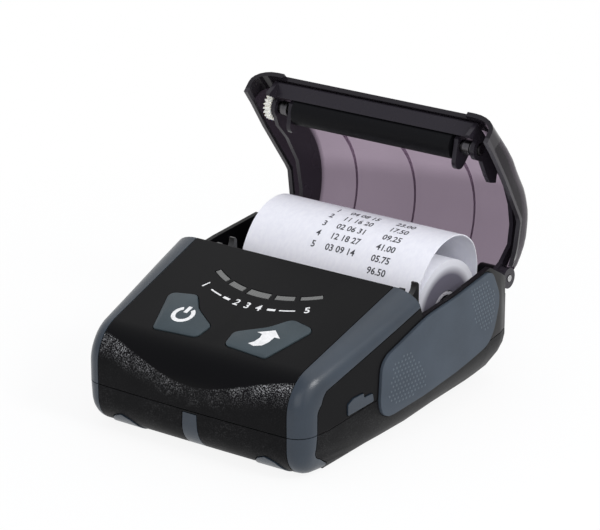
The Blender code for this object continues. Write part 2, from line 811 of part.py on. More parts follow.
def bumper_groove(name, side):
    first = PANEL_REAR_Y + OVERRUN * math.cos(PANEL_ANGLE)
    stations = [Station(first, panel_z(first), PANEL_ANGLE)] + upper_stations()
    stations += [Station(0.0, PARTING_Z, math.pi / 2)] + lower_stations()
    stations.append(sole_station(BUMPER_SOLE_END_Y + GAP))
    return solid(name, [groove_ring(s, side) for s in stations])


def strip_width(station):
    return lerp(STRIP_FOOT_WIDTH, STRIP_TOP_WIDTH, min(station.z / STRIP_TOP_Z, 1.0))


def strip_sweep(name, spread, outer, inner):
    top = [Station(0.0, STRIP_TOP_Z + spread, math.pi / 2)]
    stations = top + lower_stations() + [sole_station(STRIP_END_Y + spread)]
    rings = []
    for station in stations:
        half = strip_width(station) / 2 + spread
        corners = ((-half, outer), (half, outer), (half, inner), (-half, inner))
        rings.append([station.at(x, depth) for x, depth in corners])
    return solid(name, rings)


def foot_sweep(name, side, spread, outer, inner):
    """A foot that wraps from the sole on to the nose, with a round top edge."""
    radius = FOOT_R + spread
    stations = lower_stations(FOOT_TOP_ANGLE) + [sole_station(FRONT_FOOT_END_Y + spread)]
    rings = []
    for station in stations:
        half = math.sqrt(max(radius**2 - station.z**2, (FOOT_PROUD + spread) ** 2))
        left = side * FOOT_X - half
        right = side * FOOT_X + half
        corners = ((left, outer), (right, outer), (right, inner), (left, inner))
        rings.append([station.at(x, depth) for x, depth in corners])
    return solid(name, rings)


def key_outline(side, share=1.0):
    """Outline of a key about its centre, in the panel's plane; the left key is the drawn one."""
    corners = [(u * KEY_SPAN, v * KEY_SPAN, r * KEY_SPAN) for u, v, r in KEY_CORNER_SHARES]
    outline = rounded(corners)
    return [(-side * u * share, v * share) for u, v in outline]


def on_panel(piece, x, y):
    """Stand a piece, drawn flat about its origin, on the panel."""
    piece.location = (x, y, panel_z(y))
    piece.rotation_euler = (PANEL_ANGLE, 0.0, 0.0)
    return piece


def light_outline(angle, length, width):
    """A bar bent along the indicator arc, about the arc's centre."""
    half = length / LIGHT_ARC_R / 2
    middle = math.radians(angle) - math.pi / 2
    outer = arc((0.0, 0.0), LIGHT_ARC_R + width / 2, middle - half, middle + half, 4)
    inner = arc((0.0, 0.0), LIGHT_ARC_R - width / 2, middle + half, middle - half, 4)
    return outer + inner


def light_shapes(spread):
    shapes = []
    for angle, width, share in zip(LIGHT_ANGLES, LIGHT_WIDTHS, LIGHT_LENGTH_SHARES):
        shapes.append(light_outline(angle, LIGHT_LENGTH * share + 2 * spread, width + 2 * spread))
    return shapes


def pad_outline():
    corners = [
        (PAD_Y + u * PAD_LENGTH, PAD_Z + v * PAD_HEIGHT, r * PAD_HEIGHT)
        for u, v, r in PAD_CORNER_SHARES
    ]
    return rounded(corners, 5)


def port_outline():
    corners = [
        (PORT_Y + u * PORT_LENGTH, PORT_Z + v * PORT_HEIGHT, r * PORT_HEIGHT)
        for u, v, r in PORT_CORNER_SHARES
    ]
    return rounded(corners, 2)


def side_skin(name, outline, side, proud, depth):
    """A plate that follows the case's side: proud of it outside, and a depth into it."""
    low = side * (CASE_HALF_WIDTH - WALL * 6)
    high = side * (CASE_HALF_WIDTH + WALL)
    plate = prism_x(name, outline, min(low, high), max(low, high))
    boolean(plate, side_block(name + "_face", -proud), "INTERSECT")
    return boolean(plate, side_block(name + "_back", depth))


def side_pocket(name, outline, side, depth):
    low = side * (CASE_HALF_WIDTH - WALL * 6)
    high = side * (CASE_HALF_WIDTH + WALL)
    tool = prism_x(name, offset_outline(outline, GAP), min(low, high), max(low, high))
    return boolean(tool, side_block(name + "_back", depth + GAP))


def lug(name, side):
    """A hinge lug that stands on the back wall."""
    outline = arc((HINGE_Y, HINGE_Z), LUG_R, -math.pi / 4, math.pi, 8)
    outline += [(HINGE_Y - LUG_R, BACK_WALL_Z - LUG_R), (CASE_LENGTH - WALL - GAP, BACK_WALL_Z - LUG_R * 3)]
    outline += [(CASE_LENGTH - WALL / 2, BACK_WALL_Z - LUG_R * 3), (CASE_LENGTH - WALL / 2, BACK_WALL_Z)]
    low = side * LUG_X
    high = side * (LUG_X + LUG_WIDTH)
    plate = prism_x(name, outline, min(low, high), max(low, high))
    return plate


def make_upper_case():
    case = side_block("upper_case")
    boolean(case, profile_block("case_side_view"), "INTERSECT")
    boolean(case, parting_tool("below_parting", GAP / 2, -FAR))
    boolean(case, centre_cavity("upper_centre_cavity"))
    boolean(case, wide_cavity("upper_wide_cavity"))
    room = CHASSIS_X + CHASSIS_PLATE_T + GAP * 2
    low = (-room, CHASSIS_FRONT_Y - GAP, PARTING_Z)
    boolean(case, block("mechanism_room", low, (room, CAVITY_STEP_Y + WALL, CHASSIS_TOP_Z + GAP * 2)))
    for side, hand in ((-1, "left"), (1, "right")):
        boolean(case, bumper_groove("upper_groove_" + hand, side))
        boolean(case, side_pocket("upper_pad_pocket_" + hand, pad_outline(), side, PAD_DEPTH))
        knuckle_low = side * (LUG_X + LUG_WIDTH)
        knuckle_high = side * (CASE_HALF_WIDTH + OVERRUN)
        low = (min(knuckle_low, knuckle_high), HINGE_Y - KNUCKLE_R - GAP * 2, HINGE_Z - KNUCKLE_R - GAP * 2)
        high = (max(knuckle_low, knuckle_high), CASE_LENGTH + FAR, FAR)
        boolean(case, block("knuckle_room_" + hand, low, high))
        boolean(case, lug("lug_" + hand, side), "UNION")
        boss_top = panel_z(FRONT_SCREW_Y) - WALL / 2
        centre = (side * FRONT_SCREW_X, FRONT_SCREW_Y)
        foot_z = parting_z(FRONT_SCREW_Y) + GAP * 3
        boss = ((foot_z, BOSS_R), (boss_top, BOSS_R))
        boolean(case, turned_z("front_boss_" + hand, centre, boss, 12), "UNION")
        bore = ((foot_z - OVERRUN, SCREW_R + GAP), (foot_z + SCREW_LENGTH, SCREW_R + GAP))
        boolean(case, turned_z("front_bore_" + hand, centre, bore, 8))
        pin = (HINGE_Y, HINGE_Z)
        stations = (
            (side * (LUG_X - OVERRUN), HINGE_PIN_R + PIN_CLEARANCE),
            (side * (LUG_X + LUG_WIDTH + OVERRUN), HINGE_PIN_R + PIN_CLEARANCE),
        )
        boolean(case, turned_x("lug_bore_" + hand, pin, stations, 12))
        key_hole = prism_z(
            "key_hole_" + hand, offset_outline(key_outline(side), KEY_CLEARANCE), -WALL * 3, WALL * 3
        )
        boolean(case, on_panel(key_hole, side * KEY_X, KEY_Y))
    for number, outline in enumerate(light_shapes(GAP), 1):
        hole = prism_z(f"light_hole_{number}", outline, -WALL * 3, WALL * 3)
        boolean(case, on_panel(hole, 0.0, LIGHT_ARC_Y))
    for number, (x, y) in enumerate(((0.0, KEY_Y), (-POST_X, POST_Y), (POST_X, POST_Y)), 1):
        stations = ((-WALL / 2, POST_R), (-KEY_BOARD_DROP + GAP, POST_R))
        boolean(case, on_panel(turned_z(f"board_post_{number}", (0.0, 0.0), stations, 12), x, y), "UNION")
    boolean(case, side_pocket("port_pocket", port_outline(), 1, PORT_DEPTH))
    mouth_half = SOCKET_WIDTH / 2 + MOUTH_CLEARANCE / 2
    mouth_low = (CASE_HALF_WIDTH - WALL * 6, SOCKET_Y - mouth_half, socket_z() - SOCKET_HEIGHT / 2 - GAP)
    mouth_high = (CASE_HALF_WIDTH, SOCKET_Y + mouth_half, socket_z() + SOCKET_HEIGHT / 2 + GAP)
    boolean(case, block("socket_mouth", mouth_low, mouth_high))
    return finish(case, BLACK, 0.4)


def socket_z():
    return BOARD_Z + BOARD_T + GAP + SOCKET_HEIGHT / 2


def door_box(name, spread, lip):
    """The battery door's plate or its wider lip, as a block under the battery."""
    half_x = BATTERY_LENGTH / 2 + lip + spread
    half_y = BATTERY_WIDTH / 2 + lip + spread
    z_high = (DOOR_LIP_T if lip else DOOR_T) + spread
    z_low = -OVERRUN if spread else 0.0
    return block(name, (-half_x, BATTERY_Y - half_y, z_low), (half_x, BATTERY_Y + half_y, z_high))


def make_lower_case():
    case = side_block("lower_case")
    boolean(case, profile_block("lower_side_view"), "INTERSECT")
    boolean(case, parting_tool("above_parting", -GAP / 2, FAR))
    boolean(case, centre_cavity("lower_centre_cavity"))
    boolean(case, wide_cavity("lower_wide_cavity"))
    for side, hand in ((-1, "left"), (1, "right")):
        boolean(case, bumper_groove("lower_groove_" + hand, side))
        boolean(case, side_pocket("lower_pad_pocket_" + hand, pad_outline(), side, PAD_DEPTH))
        boolean(case, foot_sweep("foot_pocket_" + hand, side, GAP, -OVERRUN, FOOT_DEPTH + GAP))
        centre = (side * REAR_FOOT_X, REAR_FOOT_Y)
        pocket = ((-OVERRUN, REAR_FOOT_R + GAP), (FOOT_DEPTH + GAP, REAR_FOOT_R + GAP))
        boolean(case, turned_z("rear_foot_pocket_" + hand, centre, pocket, 24))
        centre = (side * FRONT_SCREW_X, FRONT_SCREW_Y)
        boss = ((WALL / 2, BOSS_R), (parting_z(FRONT_SCREW_Y) - GAP, BOSS_R))
        boolean(case, turned_z("lower_boss_" + hand, centre, boss, 12), "UNION")
        screw_room(case, "front_screw_room_" + hand, centre)
        screw_room(case, "rear_screw_room_" + hand, (side * REAR_SCREW_X, REAR_SCREW_Y))
    boolean(case, strip_sweep("strip_groove", GAP, -OVERRUN, STRIP_T + GAP))
    boolean(case, door_box("door_room", GAP, 0.0))
    boolean(case, block(
        "door_way",
        (-BATTERY_LENGTH / 2 - GAP, BATTERY_Y - BATTERY_WIDTH / 2 - GAP, WALL / 2),
        (BATTERY_LENGTH / 2 + GAP, BATTERY_Y + BATTERY_WIDTH / 2 + GAP, WALL * 2),
    ))
    boolean(case, door_box("door_lip_room", GAP, DOOR_LIP))
    inner = BATTERY_WIDTH / 2 + GAP * 2
    outer = inner + PARTITION_T
    for low_y, high_y, level in ((-outer, -inner, "front"), (inner, outer, "rear")):
        low = (-BOARD_HALF_X, BATTERY_Y + low_y, WALL - GAP)
        high = (BOARD_HALF_X, BATTERY_Y + high_y, BOARD_Z - GAP)
        boolean(case, block("battery_wall_" + level, low, high), "UNION")
    for side, hand in ((-1, "left"), (1, "right")):
        low_x, high_x = sorted((side * STAND_X, side * (CHASSIS_X + CHASSIS_PLATE_T)))
        low = (low_x, CHASSIS_FRONT_Y + WALL / 2, WALL / 2)
        high = (high_x, CHASSIS_REAR_Y - WALL / 2, CHASSIS_FLOOR_Z - GAP)
        boolean(case, block("chassis_stand_" + hand, low, high), "UNION")
    return finish(case, BLACK, 0.4)


def screw_room(case, name, centre):
    head = ((-OVERRUN, SCREW_HEAD_R + GAP), (SCREW_SINK + SCREW_HEAD_H + GAP, SCREW_HEAD_R + GAP))
    boolean(case, turned_z(name + "_head", centre, head, 12))
    shank = ((0.0, SCREW_R + GAP), (FAR / 2, SCREW_R + GAP))
    boolean(case, turned_z(name + "_shank", centre, shank, 8))


def screw(name, centre, length):
    head_z = SCREW_SINK + SCREW_HEAD_H
    stations = (
        (SCREW_SINK, SCREW_HEAD_R),
        (head_z, SCREW_HEAD_R),
        (head_z, SCREW_R),
        (head_z + length, SCREW_R),
    )
    return turned_z(name, centre, stations, 8)


def make_screws():
    pieces = []
    for side, hand in ((-1, "left"), (1, "right")):
        front_length = SIDE_PARTING_Z + SCREW_LENGTH / 2
        front = screw("front_screw_" + hand, (side * FRONT_SCREW_X, FRONT_SCREW_Y), front_length)
        rear = screw("rear_screw_" + hand, (side * REAR_SCREW_X, REAR_SCREW_Y), SCREW_LENGTH)
        pieces += [finish(front, STEEL, 0.35, 1.0), finish(rear, STEEL, 0.35, 1.0)]
    return pieces


def make_trim():
    pieces = []
    for side, hand in ((-1, "left"), (1, "right")):
        for upper, level in ((True, "upper"), (False, "lower")):
            pieces.append(finish(bumper(f"bumper_{hand}_{level}", side, upper), SOFT_BLUE, 0.55))
        pad = side_skin("grip_pad_" + hand, pad_outline(), side, PAD_PROUD, PAD_DEPTH)
        pieces.append(finish(pad, SOFT_BLUE, 0.6))
        foot = foot_sweep("front_foot_" + hand, side, 0.0, -FOOT_PROUD, FOOT_DEPTH)
        pieces.append(finish(foot, SOFT_BLUE, 0.6))
        stations = ((-FOOT_PROUD, REAR_FOOT_R), (FOOT_DEPTH, REAR_FOOT_R))
        foot = turned_z("rear_foot_" + hand, (side * REAR_FOOT_X, REAR_FOOT_Y), stations, 24)
        pieces.append(finish(foot, SOFT_BLUE, 0.6))
    pieces.append(finish(strip_sweep("front_strip", 0.0, 0.0, STRIP_T), SOFT_BLUE, 0.55))
    return pieces


def make_key(name, side):
    """A key cap: a flange under the panel, and a top that stands a little proud."""
    levels = (
        (-WALL - GAP - KEY_FLANGE_T, KEY_FLANGE_SHARE),
        (-WALL - GAP, KEY_FLANGE_SHARE),
        (-WALL - GAP, 1.0),
        (KEY_PROUD / 2, 1.0),
        (KEY_PROUD, KEY_TOP_SHARE),
    )
    key = solid(name, [[(u, v, z) for u, v in key_outline(side, share)] for z, share in levels])
    return finish(on_panel(key, side * KEY_X, KEY_Y), SOFT_BLUE, 0.5)


def make_lights():
    pieces = []
    for number, outline in enumerate(light_shapes(0.0), 1):
        window = prism_z(f"light_window_{number}", outline, -LIGHT_DEPTH, 0.0)
        pieces.append(finish(on_panel(window, 0.0, LIGHT_ARC_Y), GREY_LENS, 0.3))
    return pieces


def make_key_board():
    """The board under the panel, with a lamp under each window and a switch under each key."""
    front = (KEY_BOARD_FRONT_Y - KEY_Y) / math.cos(PANEL_ANGLE)
    rear = (KEY_BOARD_REAR_Y - KEY_Y) / math.cos(PANEL_ANGLE)
    low = (-KEY_BOARD_HALF_X, front, -KEY_BOARD_DROP - KEY_BOARD_T)
    high = (KEY_BOARD_HALF_X, rear, -KEY_BOARD_DROP)
    board = on_panel(block("key_board", low, high), 0.0, KEY_Y)
    for number, angle in enumerate(LIGHT_ANGLES, 1):
        x = LIGHT_ARC_R * math.sin(math.radians(angle))
        y = -LIGHT_ARC_R * math.cos(math.radians(angle))
        low = (x - LED_SIZE / 2, y - LED_SIZE / 2, -KEY_BOARD_DROP - KEY_BOARD_T / 2)
        high = (x + LED_SIZE / 2, y + LED_SIZE / 2, -KEY_BOARD_DROP + LED_SIZE)
        lamp = on_panel(block(f"status_lamp_{number}", low, high), 0.0, LIGHT_ARC_Y)
        boolean(board, lamp, "UNION")
    pieces = [finish(board, BOARD_GREEN, 0.5)]
    half = SWITCH_SIZE / 2
    base = -KEY_BOARD_DROP + GAP
    for side, hand in ((-1, "power"), (1, "feed")):
        x = side * KEY_X
        high = (x + half, front + SWITCH_SIZE, base + SWITCH_H)
        switch = block(hand + "_switch", (x - half, front, base), high)
        top = -WALL - GAP - KEY_FLANGE_T - KEY_TRAVEL - GAP
        stations = ((base + SWITCH_H / 2, SWITCH_CAP_R), (top, SWITCH_CAP_R))
        cap = turned_z(hand + "_switch_cap", (x, front + half), stations, 10)
        boolean(switch, on_panel(cap, 0.0, KEY_Y), "UNION")
        pieces.append(finish(on_panel(switch, 0.0, KEY_Y), BLACK, 0.4))
    return pieces


def make_main_board():
    outline = [
        (-BOARD_HALF_X, BOARD_FRONT_Y),
        (BOARD_TAB_X, BOARD_FRONT_Y),
        (BOARD_TAB_X, BOARD_TAB_Y),
        (BOARD_HALF_X, BOARD_TAB_Y),
        (BOARD_HALF_X, BOARD_REAR_Y),
        (-BOARD_HALF_X, BOARD_REAR_Y),
    ]
    board = prism_z("main_board", outline, BOARD_Z, BOARD_Z + BOARD_T)
    top = BOARD_Z + BOARD_T + GAP
    middle_y = (BOARD_FRONT_Y + BOARD_REAR_Y) / 2
    half = CHIP_SIZE / 2
    chip = block("processor_chip", (-half, middle_y - half, top), (half, middle_y + half, top + CHIP_H))
    socket_x = half_width(SOCKET_Y, socket_z()) - PORT_DEPTH - WALL / 2
    half_w = SOCKET_WIDTH / 2
    half_h = SOCKET_HEIGHT / 2
    outline = [(SOCKET_Y + u * half_w, socket_z() + v * half_h) for u, v in SOCKET_SHARES]
    socket = prism_x("usb_socket", outline, socket_x - SOCKET_LENGTH, socket_x)
    mouth = prism_x(
        "socket_hollow", offset_outline(outline, -SOCKET_WALL), socket_x - SOCKET_LENGTH * SOCKET_BORE_SHARE,
        socket_x + OVERRUN
    )
    boolean(socket, mouth)
    tongue = block(
        "socket_tongue",
        (socket_x - SOCKET_LENGTH * SOCKET_TONGUE_SHARE, SOCKET_Y - half_w / 2, socket_z() - SOCKET_WALL),
        (socket_x - SOCKET_WALL, SOCKET_Y + half_w / 2, socket_z() + SOCKET_WALL),
    )
    boolean(socket, tongue, "UNION")
    return [
        finish(board, BOARD_GREEN, 0.5),
        finish(chip, BLACK, 0.35),
        finish(socket, STEEL, 0.3, 1.0),
    ]


def make_battery():
    half_x = BATTERY_LENGTH / 2
    half_y = BATTERY_WIDTH / 2
    low = (-half_x, BATTERY_Y - half_y, DOOR_T + GAP)
    high = (half_x, BATTERY_Y + half_y, DOOR_T + GAP + BATTERY_HEIGHT)
    pack = block("battery_pack", low, high)
    edge = pack.modifiers.new("edge", "BEVEL")
    edge.width = BATTERY_EDGE
    edge.segments = 3
    door = door_box("battery_door", 0.0, DOOR_LIP)
    inner_low = (-half_x, BATTERY_Y - half_y, DOOR_LIP_T / 2)
    inner_high = (half_x, BATTERY_Y + half_y, DOOR_T)
    boolean(door, block("door_step", inner_low, inner_high), "UNION")
    return [finish(pack, CELL_BLUE, 0.45), finish(door, BLACK, 0.45)]


def make_port_cover():
    cover = side_skin("port_cover", port_outline(), 1, PORT_PROUD, PORT_DEPTH)
    return finish(cover, SOFT_BLUE, 0.6)


def port_axis():
    y = PORT_Y + PORT_LENGTH * PORT_CORNER_SHARES[-2][0]
    return (half_width(y, PORT_Z + PORT_HEIGHT, -PORT_PROUD), y, PORT_Z)


def bin_outline(spread):
    """The trough seen from the side, from its rear top edge down and round to its front top edge."""
    radius = ROLL_R + BIN_CLEARANCE + spread
    points = [(ROLL_Y + radius, BIN_REAR_Z)]
    points += arc((ROLL_Y, ROLL_Z), radius, 0.0, -math.pi, 18)
    points.append((ROLL_Y - radius, BIN_FRONT_Z))
    return points


def make_bin():
    trough = prism_x("paper_bin", bin_outline(BIN_T) + bin_outline(0.0)[::-1], -BIN_HALF_X, BIN_HALF_X)
    wall_outline = bin_outline(BIN_T)
    wall_outline[0] = (wall_outline[0][0], BIN_FRONT_Z)
    for side, hand in ((-1, "left"), (1, "right")):
        low = side * (BIN_HALF_X - BIN_T / 4)
        high = side * (BIN_HALF_X + BIN_T)
        boolean(trough, prism_x("bin_end_" + hand, wall_outline, min(low, high), max(low, high)), "UNION")
        outline = [(side * (BIN_HALF_X + BIN_T / 2), DECK_FRONT_Y)]
        for share in DECK_SHARES:
            y = lerp(DECK_FRONT_Y, DECK_REAR_Y, share)
            outline.append((side * (half_width(y, DECK_Z) - WALL - GAP), y))
        outline.append((side * (BIN_HALF_X + BIN_T / 2), DECK_REAR_Y))
        deck = prism_z("deck_" + hand, outline, BIN_FRONT_Z - DECK_T, BIN_FRONT_Z + GAP)
        boolean(trough, deck, "UNION")
        centre = (side * REAR_SCREW_X, REAR_SCREW_Y)
        boss_z = WALL + GAP
        stations = ((boss_z, BOSS_R), (ROLL_Z - ROLL_R / 2, BOSS_R))
        boolean(trough, turned_z("rear_boss_" + hand, centre, stations, 12), "UNION")
        bore_z = SCREW_SINK + SCREW_HEAD_H + SCREW_LENGTH + GAP
        bore = ((boss_z - OVERRUN, SCREW_R + GAP), (bore_z, SCREW_R + GAP))
        boolean(trough, turned_z("rear_bore_" + hand, centre, bore, 8))
    room = BIN_HALF_X - BIN_T / 4
    boolean(trough, prism_x("roll_room", bin_outline(0.0), -room, room))
    return finish(trough, BLACK, 0.45)


def chassis_outline():
    """The head carrier seen from the side: an upturned channel with a slope that faces the platen."""
    outer = [
        (CHASSIS_FRONT_Y, CHASSIS_FLOOR_Z),
        (CHASSIS_FRONT_Y, CHASSIS_CHIN_Z),
        (CHASSIS_TOP_Y, CHASSIS_TOP_Z),
        (head_line() - CHASSIS_TOP_Z, CHASSIS_TOP_Z),
        (CHASSIS_REAR_Y, head_line() - CHASSIS_REAR_Y),
        (CHASSIS_REAR_Y, CHASSIS_FLOOR_Z),
    ]
    t = CHASSIS_T
    inner = [
        (CHASSIS_REAR_Y - t, CHASSIS_FLOOR_Z),
        (CHASSIS_REAR_Y - t, head_line() - CHASSIS_REAR_Y - t / 2),
        (head_line() - CHASSIS_TOP_Z - t / 2, CHASSIS_TOP_Z - t),
        (CHASSIS_TOP_Y + t / 2, CHASSIS_TOP_Z - t),
        (CHASSIS_FRONT_Y + t, CHASSIS_CHIN_Z - t / 2),
        (CHASSIS_FRONT_Y + t, CHASSIS_FLOOR_Z),
    ]
    return outer, inner


def nip():
    """Where the platen meets the print head."""
    return (PLATEN_Y - PLATEN_R * math.sin(NIP_ANGLE), PLATEN_Z - PLATEN_R * math.cos(NIP_ANGLE))


def head_line():
    """Height plus distance along the case on the sloping seat under the print head."""
    stack = HEAD_T + SINK_T + GAP * 3
    return sum(nip()) - stack / math.sin(NIP_ANGLE)


def idler_centre():
    reach = MODULE * (PLATEN_TEETH + IDLER_TEETH) / 2 + MESH_SLACK
    return (PLATEN_Y + reach * math.cos(IDLER_DIRECTION), PLATEN_Z + reach * math.sin(IDLER_DIRECTION))


def pinion_centre():
    reach = MODULE * (PINION_TEETH + IDLER_TEETH) / 2 + MESH_SLACK
    y, z = idler_centre()
    run = y - PINION_Y
    return (PINION_Y, z - math.sqrt(reach**2 - run**2))


def side_plate_outline():
    """A chassis side plate with an open notch that takes the platen bearing."""
    outer, _ = chassis_outline()
    room = BEARING_R + NOTCH_CLEARANCE
    front = PLATEN_Y - room
    rear = PLATEN_Y + room
    cradle = arc((PLATEN_Y, PLATEN_Z), room, math.pi, math.tau, 8)
    slope_z = head_line() - front + NOTCH_WALL
    points = outer[:3]
    points += [(head_line() - CHASSIS_TOP_Z, CHASSIS_TOP_Z), (front - NOTCH_WALL, slope_z)]
    points += [(front - NOTCH_WALL / 2, NOTCH_TOP_Z), (front, NOTCH_TOP_Z)] + cradle
    points += [(rear, NOTCH_TOP_Z), (rear + NOTCH_WALL / 2, NOTCH_TOP_Z)]
    points.append((rear + NOTCH_WALL, PLATEN_Z - GAP))
    points += [(rear + NOTCH_WALL, NOTCH_FOOT_Z), (bin_front_y() - GAP, NOTCH_FOOT_Z - NOTCH_WALL)]
    points += [(bin_front_y() - GAP, idler_centre()[1] - NOTCH_WALL), outer[-1]]
    return points


def bin_front_y():
    return ROLL_Y - ROLL_R - BIN_CLEARANCE - BIN_T


def make_mechanism():
    outer, inner = chassis_outline()
    chassis = prism_x("mechanism_chassis", outer + inner, -CHASSIS_X, CHASSIS_X)
    for side, hand in ((-1, "left"), (1, "right")):
        low = side * (CHASSIS_X - CHASSIS_PLATE_T / 4)
        high = side * (CHASSIS_X + CHASSIS_PLATE_T)
        plate = prism_x("side_plate_" + hand, side_plate_outline(), min(low, high), max(low, high))
        boolean(chassis, plate, "UNION")
    far_x = CHASSIS_X + CHASSIS_PLATE_T
    hole = ((-far_x - OVERRUN, MOTOR_SHAFT_R + GAP), (-CHASSIS_X + OVERRUN, MOTOR_SHAFT_R + GAP))
    boolean(chassis, turned_x("motor_shaft_hole", pinion_centre(), hole, 10))
    stud = ((-far_x + CHASSIS_PLATE_T / 2, SHAFT_R / 2), (GEAR_X - GAP, SHAFT_R / 2))
    boolean(chassis, turned_x("idler_stud", idler_centre(), stud, 10), "UNION")
    pieces = [finish(chassis, BLACK, 0.5)]
    head_x = HEAD_HALF_X
    nip_y, nip_z = nip()
    along = (-math.cos(NIP_ANGLE), math.sin(NIP_ANGLE))
    inward = (-math.sin(NIP_ANGLE), -math.cos(NIP_ANGLE))

    def plate_outline(top, bottom, lead, width):
        middle = (nip_y + along[0] * lead, nip_z + along[1] * lead)
        corners = ((-width / 2, top), (width / 2, top), (width / 2, bottom), (-width / 2, bottom))
        return [
            (middle[0] + along[0] * a + inward[0] * d, middle[1] + along[1] * a + inward[1] * d)
            for a, d in corners
        ]

    head = prism_x("print_head", plate_outline(GAP, GAP + HEAD_T, HEAD_LEAD, HEAD_WIDTH), -head_x, head_x)
    pieces.append(finish(head, CERAMIC, 0.25))
    sink_top = GAP * 2 + HEAD_T
    sink_outline = plate_outline(sink_top, sink_top + SINK_T, HEAD_LEAD, HEAD_WIDTH + HEAD_T)
    sink = prism_x("head_heatsink", sink_outline, -head_x, head_x)
    pieces.append(finish(sink, ALUMINIUM, 0.35, 1.0))
    tear_y = PANEL_REAR_Y + WALL / 2
    bar = block(
        "tear_bar",
        (-TEAR_HALF_X, tear_y, CHASSIS_TOP_Z + GAP),
        (TEAR_HALF_X, tear_y + TEAR_T, sum(nip()) - tear_y - TEAR_T - GAP),
    )
    pieces.append(finish(bar, STEEL, 0.3, 1.0))
    centre = pinion_centre()
    front = -CHASSIS_X + CHASSIS_PLATE_T / 4 + GAP
    motor = turned_x("feed_motor", centre, ((front, MOTOR_R), (front + MOTOR_LENGTH, MOTOR_R)), 28)
    pieces.append(finish(motor, STEEL, 0.35, 1.0))
    size = SENSOR_SIZE
    sensor = block(
        "paper_sensor",
        (-size, CHASSIS_REAR_Y + GAP, BIN_FRONT_Z - size * 2),
        (size, CHASSIS_REAR_Y + GAP + size, BIN_FRONT_Z - size),
    )
    pieces.append(finish(sensor, BLACK, 0.3))
    return pieces


def gear_outline(teeth, turn):
    """Straight-sided teeth about the origin; turn is the angle of the first tooth's middle."""
    pitch_r = MODULE * teeth / 2
    pitch = math.tau / teeth
    points = []
    for tooth in range(teeth):
        middle = turn + tooth * pitch
        for height, share in TOOTH_SHARES:
            radius = pitch_r + height * MODULE
            angle = middle + share * pitch
            points.append((radius * math.cos(angle), radius * math.sin(angle)))
    return points


def gear(name, centre, teeth, turn, bore):
    outline = [(centre[0] + u, centre[1] + v) for u, v in gear_outline(teeth, turn)]
    wheel = prism_x(name, outline, GEAR_X, GEAR_X + GEAR_WIDTH)
    if bore:
        stations = ((GEAR_X - OVERRUN, bore), (GEAR_X + GEAR_WIDTH + OVERRUN, bore))
        boolean(wheel, turned_x(name + "_bore", centre, stations, 16))
    return wheel


def make_gears():
    """Idler and pinion, in mesh with each other, and with the platen gear when the cover is shut."""
    idler_pitch = math.tau / IDLER_TEETH
    pinion_pitch = math.tau / PINION_TEETH
    to_platen = IDLER_DIRECTION + math.pi
    bore = SHAFT_R / 2 + PIN_CLEARANCE
    idler = gear("idler_gear", idler_centre(), IDLER_TEETH, to_platen + idler_pitch / 2, bore)
    y, z = idler_centre()
    pin_y, pin_z = pinion_centre()
    to_pinion = math.atan2(pin_z - z, pin_y - y)
    phase = (to_pinion - to_platen - idler_pitch / 2) / idler_pitch
    fraction = phase - math.floor(phase)
    meeting = to_pinion + math.pi
    turn = meeting + pinion_pitch / 2 + fraction * pinion_pitch
    pinion = gear("motor_pinion", (pin_y, pin_z), PINION_TEETH, turn, 0.0)
    stem = ((GEAR_X + GEAR_WIDTH / 2, MOTOR_SHAFT_R), (-CHASSIS_X - GAP / 3, MOTOR_SHAFT_R))
    boolean(pinion, turned_x("pinion_stem", (pin_y, pin_z), stem, 10), "UNION")
    return finish(idler, CREAM, 0.45), finish(pinion, CREAM, 0.45)


def make_paper():
    centre = (ROLL_Y, ROLL_Z)
    half = PAPER_HALF_WIDTH
    roll = tube_x("paper_roll", centre, -half, half, ROLL_R, CORE_R + GAP, 48)
    core = tube_x("paper_core", centre, -half, half, CORE_R, CORE_R - CORE_T, 24)
    path = tail_path()
    outside = offset_path(path, TAIL_T)
    tail = prism_x("paper_tail", path + outside[::-1], -half, half)
    return finish(roll, PAPER, 0.75), finish(core, CARD, 0.8), finish(tail, PAPER, 0.7)


# The loose turn above the roll, as shares of the roll's radius about its centre
TAIL_SHARES = (
    (1.012, 0.40),
    (1.015, 0.72),
    (0.890, 1.065),
    (0.600, 1.305),
    (0.250, 1.395),
    (-0.150, 1.345),
    (-0.500, 1.150),
    (-0.755, 0.855),
    (-0.905, 0.560),
    (-0.985, 0.300),
)


def tail_path():
    """The paper's last turn: under the roll, up the back, loosely over the top and down the front."""
    radius = ROLL_R + GAP
    start = math.radians(-125)
    points = arc((ROLL_Y, ROLL_Z), radius, start, 0.0, 14)
    knots = [points[-1]] + [(ROLL_Y + u * ROLL_R, ROLL_Z + v * ROLL_R) for u, v in TAIL_SHARES]
    knots.append((ROLL_Y - radius, ROLL_Z))
    points += spline(points[-2], knots, (ROLL_Y - radius, ROLL_Z - radius / 4), TAIL_STEPS)[1:]
    points += arc((ROLL_Y, ROLL_Z), radius, math.pi, math.pi + math.radians(40), 5)[1:]
    return points


def spline(before, knots, after, steps):
    """A smooth curve through knots, with a point before and after them for the end directions."""
    line = [before] + knots + [after]
    points = [knots[0]]
    for i in range(1, len(line) - 2):
        a, b, c, d = (Vector(line[i + k]) for k in (-1, 0, 1, 2))
        for k in range(1, steps + 1):
            t = k / steps
            p = b + 0.5 * t * ((c - a) + t * ((2 * a - 5 * b + 4 * c - d) + t * (3 * (b - c) + d - a)))
            points.append((p.x, p.y))
    return points


def offset_path(path, amount):
    """A copy of an open path, moved outwards from the roll."""
    moved = []
    for i, point in enumerate(path):
        before = Vector(path[max(i - 1, 0)])
        after = Vector(path[min(i + 1, len(path) - 1)])
        along = (after - before).normalized()
        moved.append((point[0] + along.y * amount, point[1] - along.x * amount))
    return moved


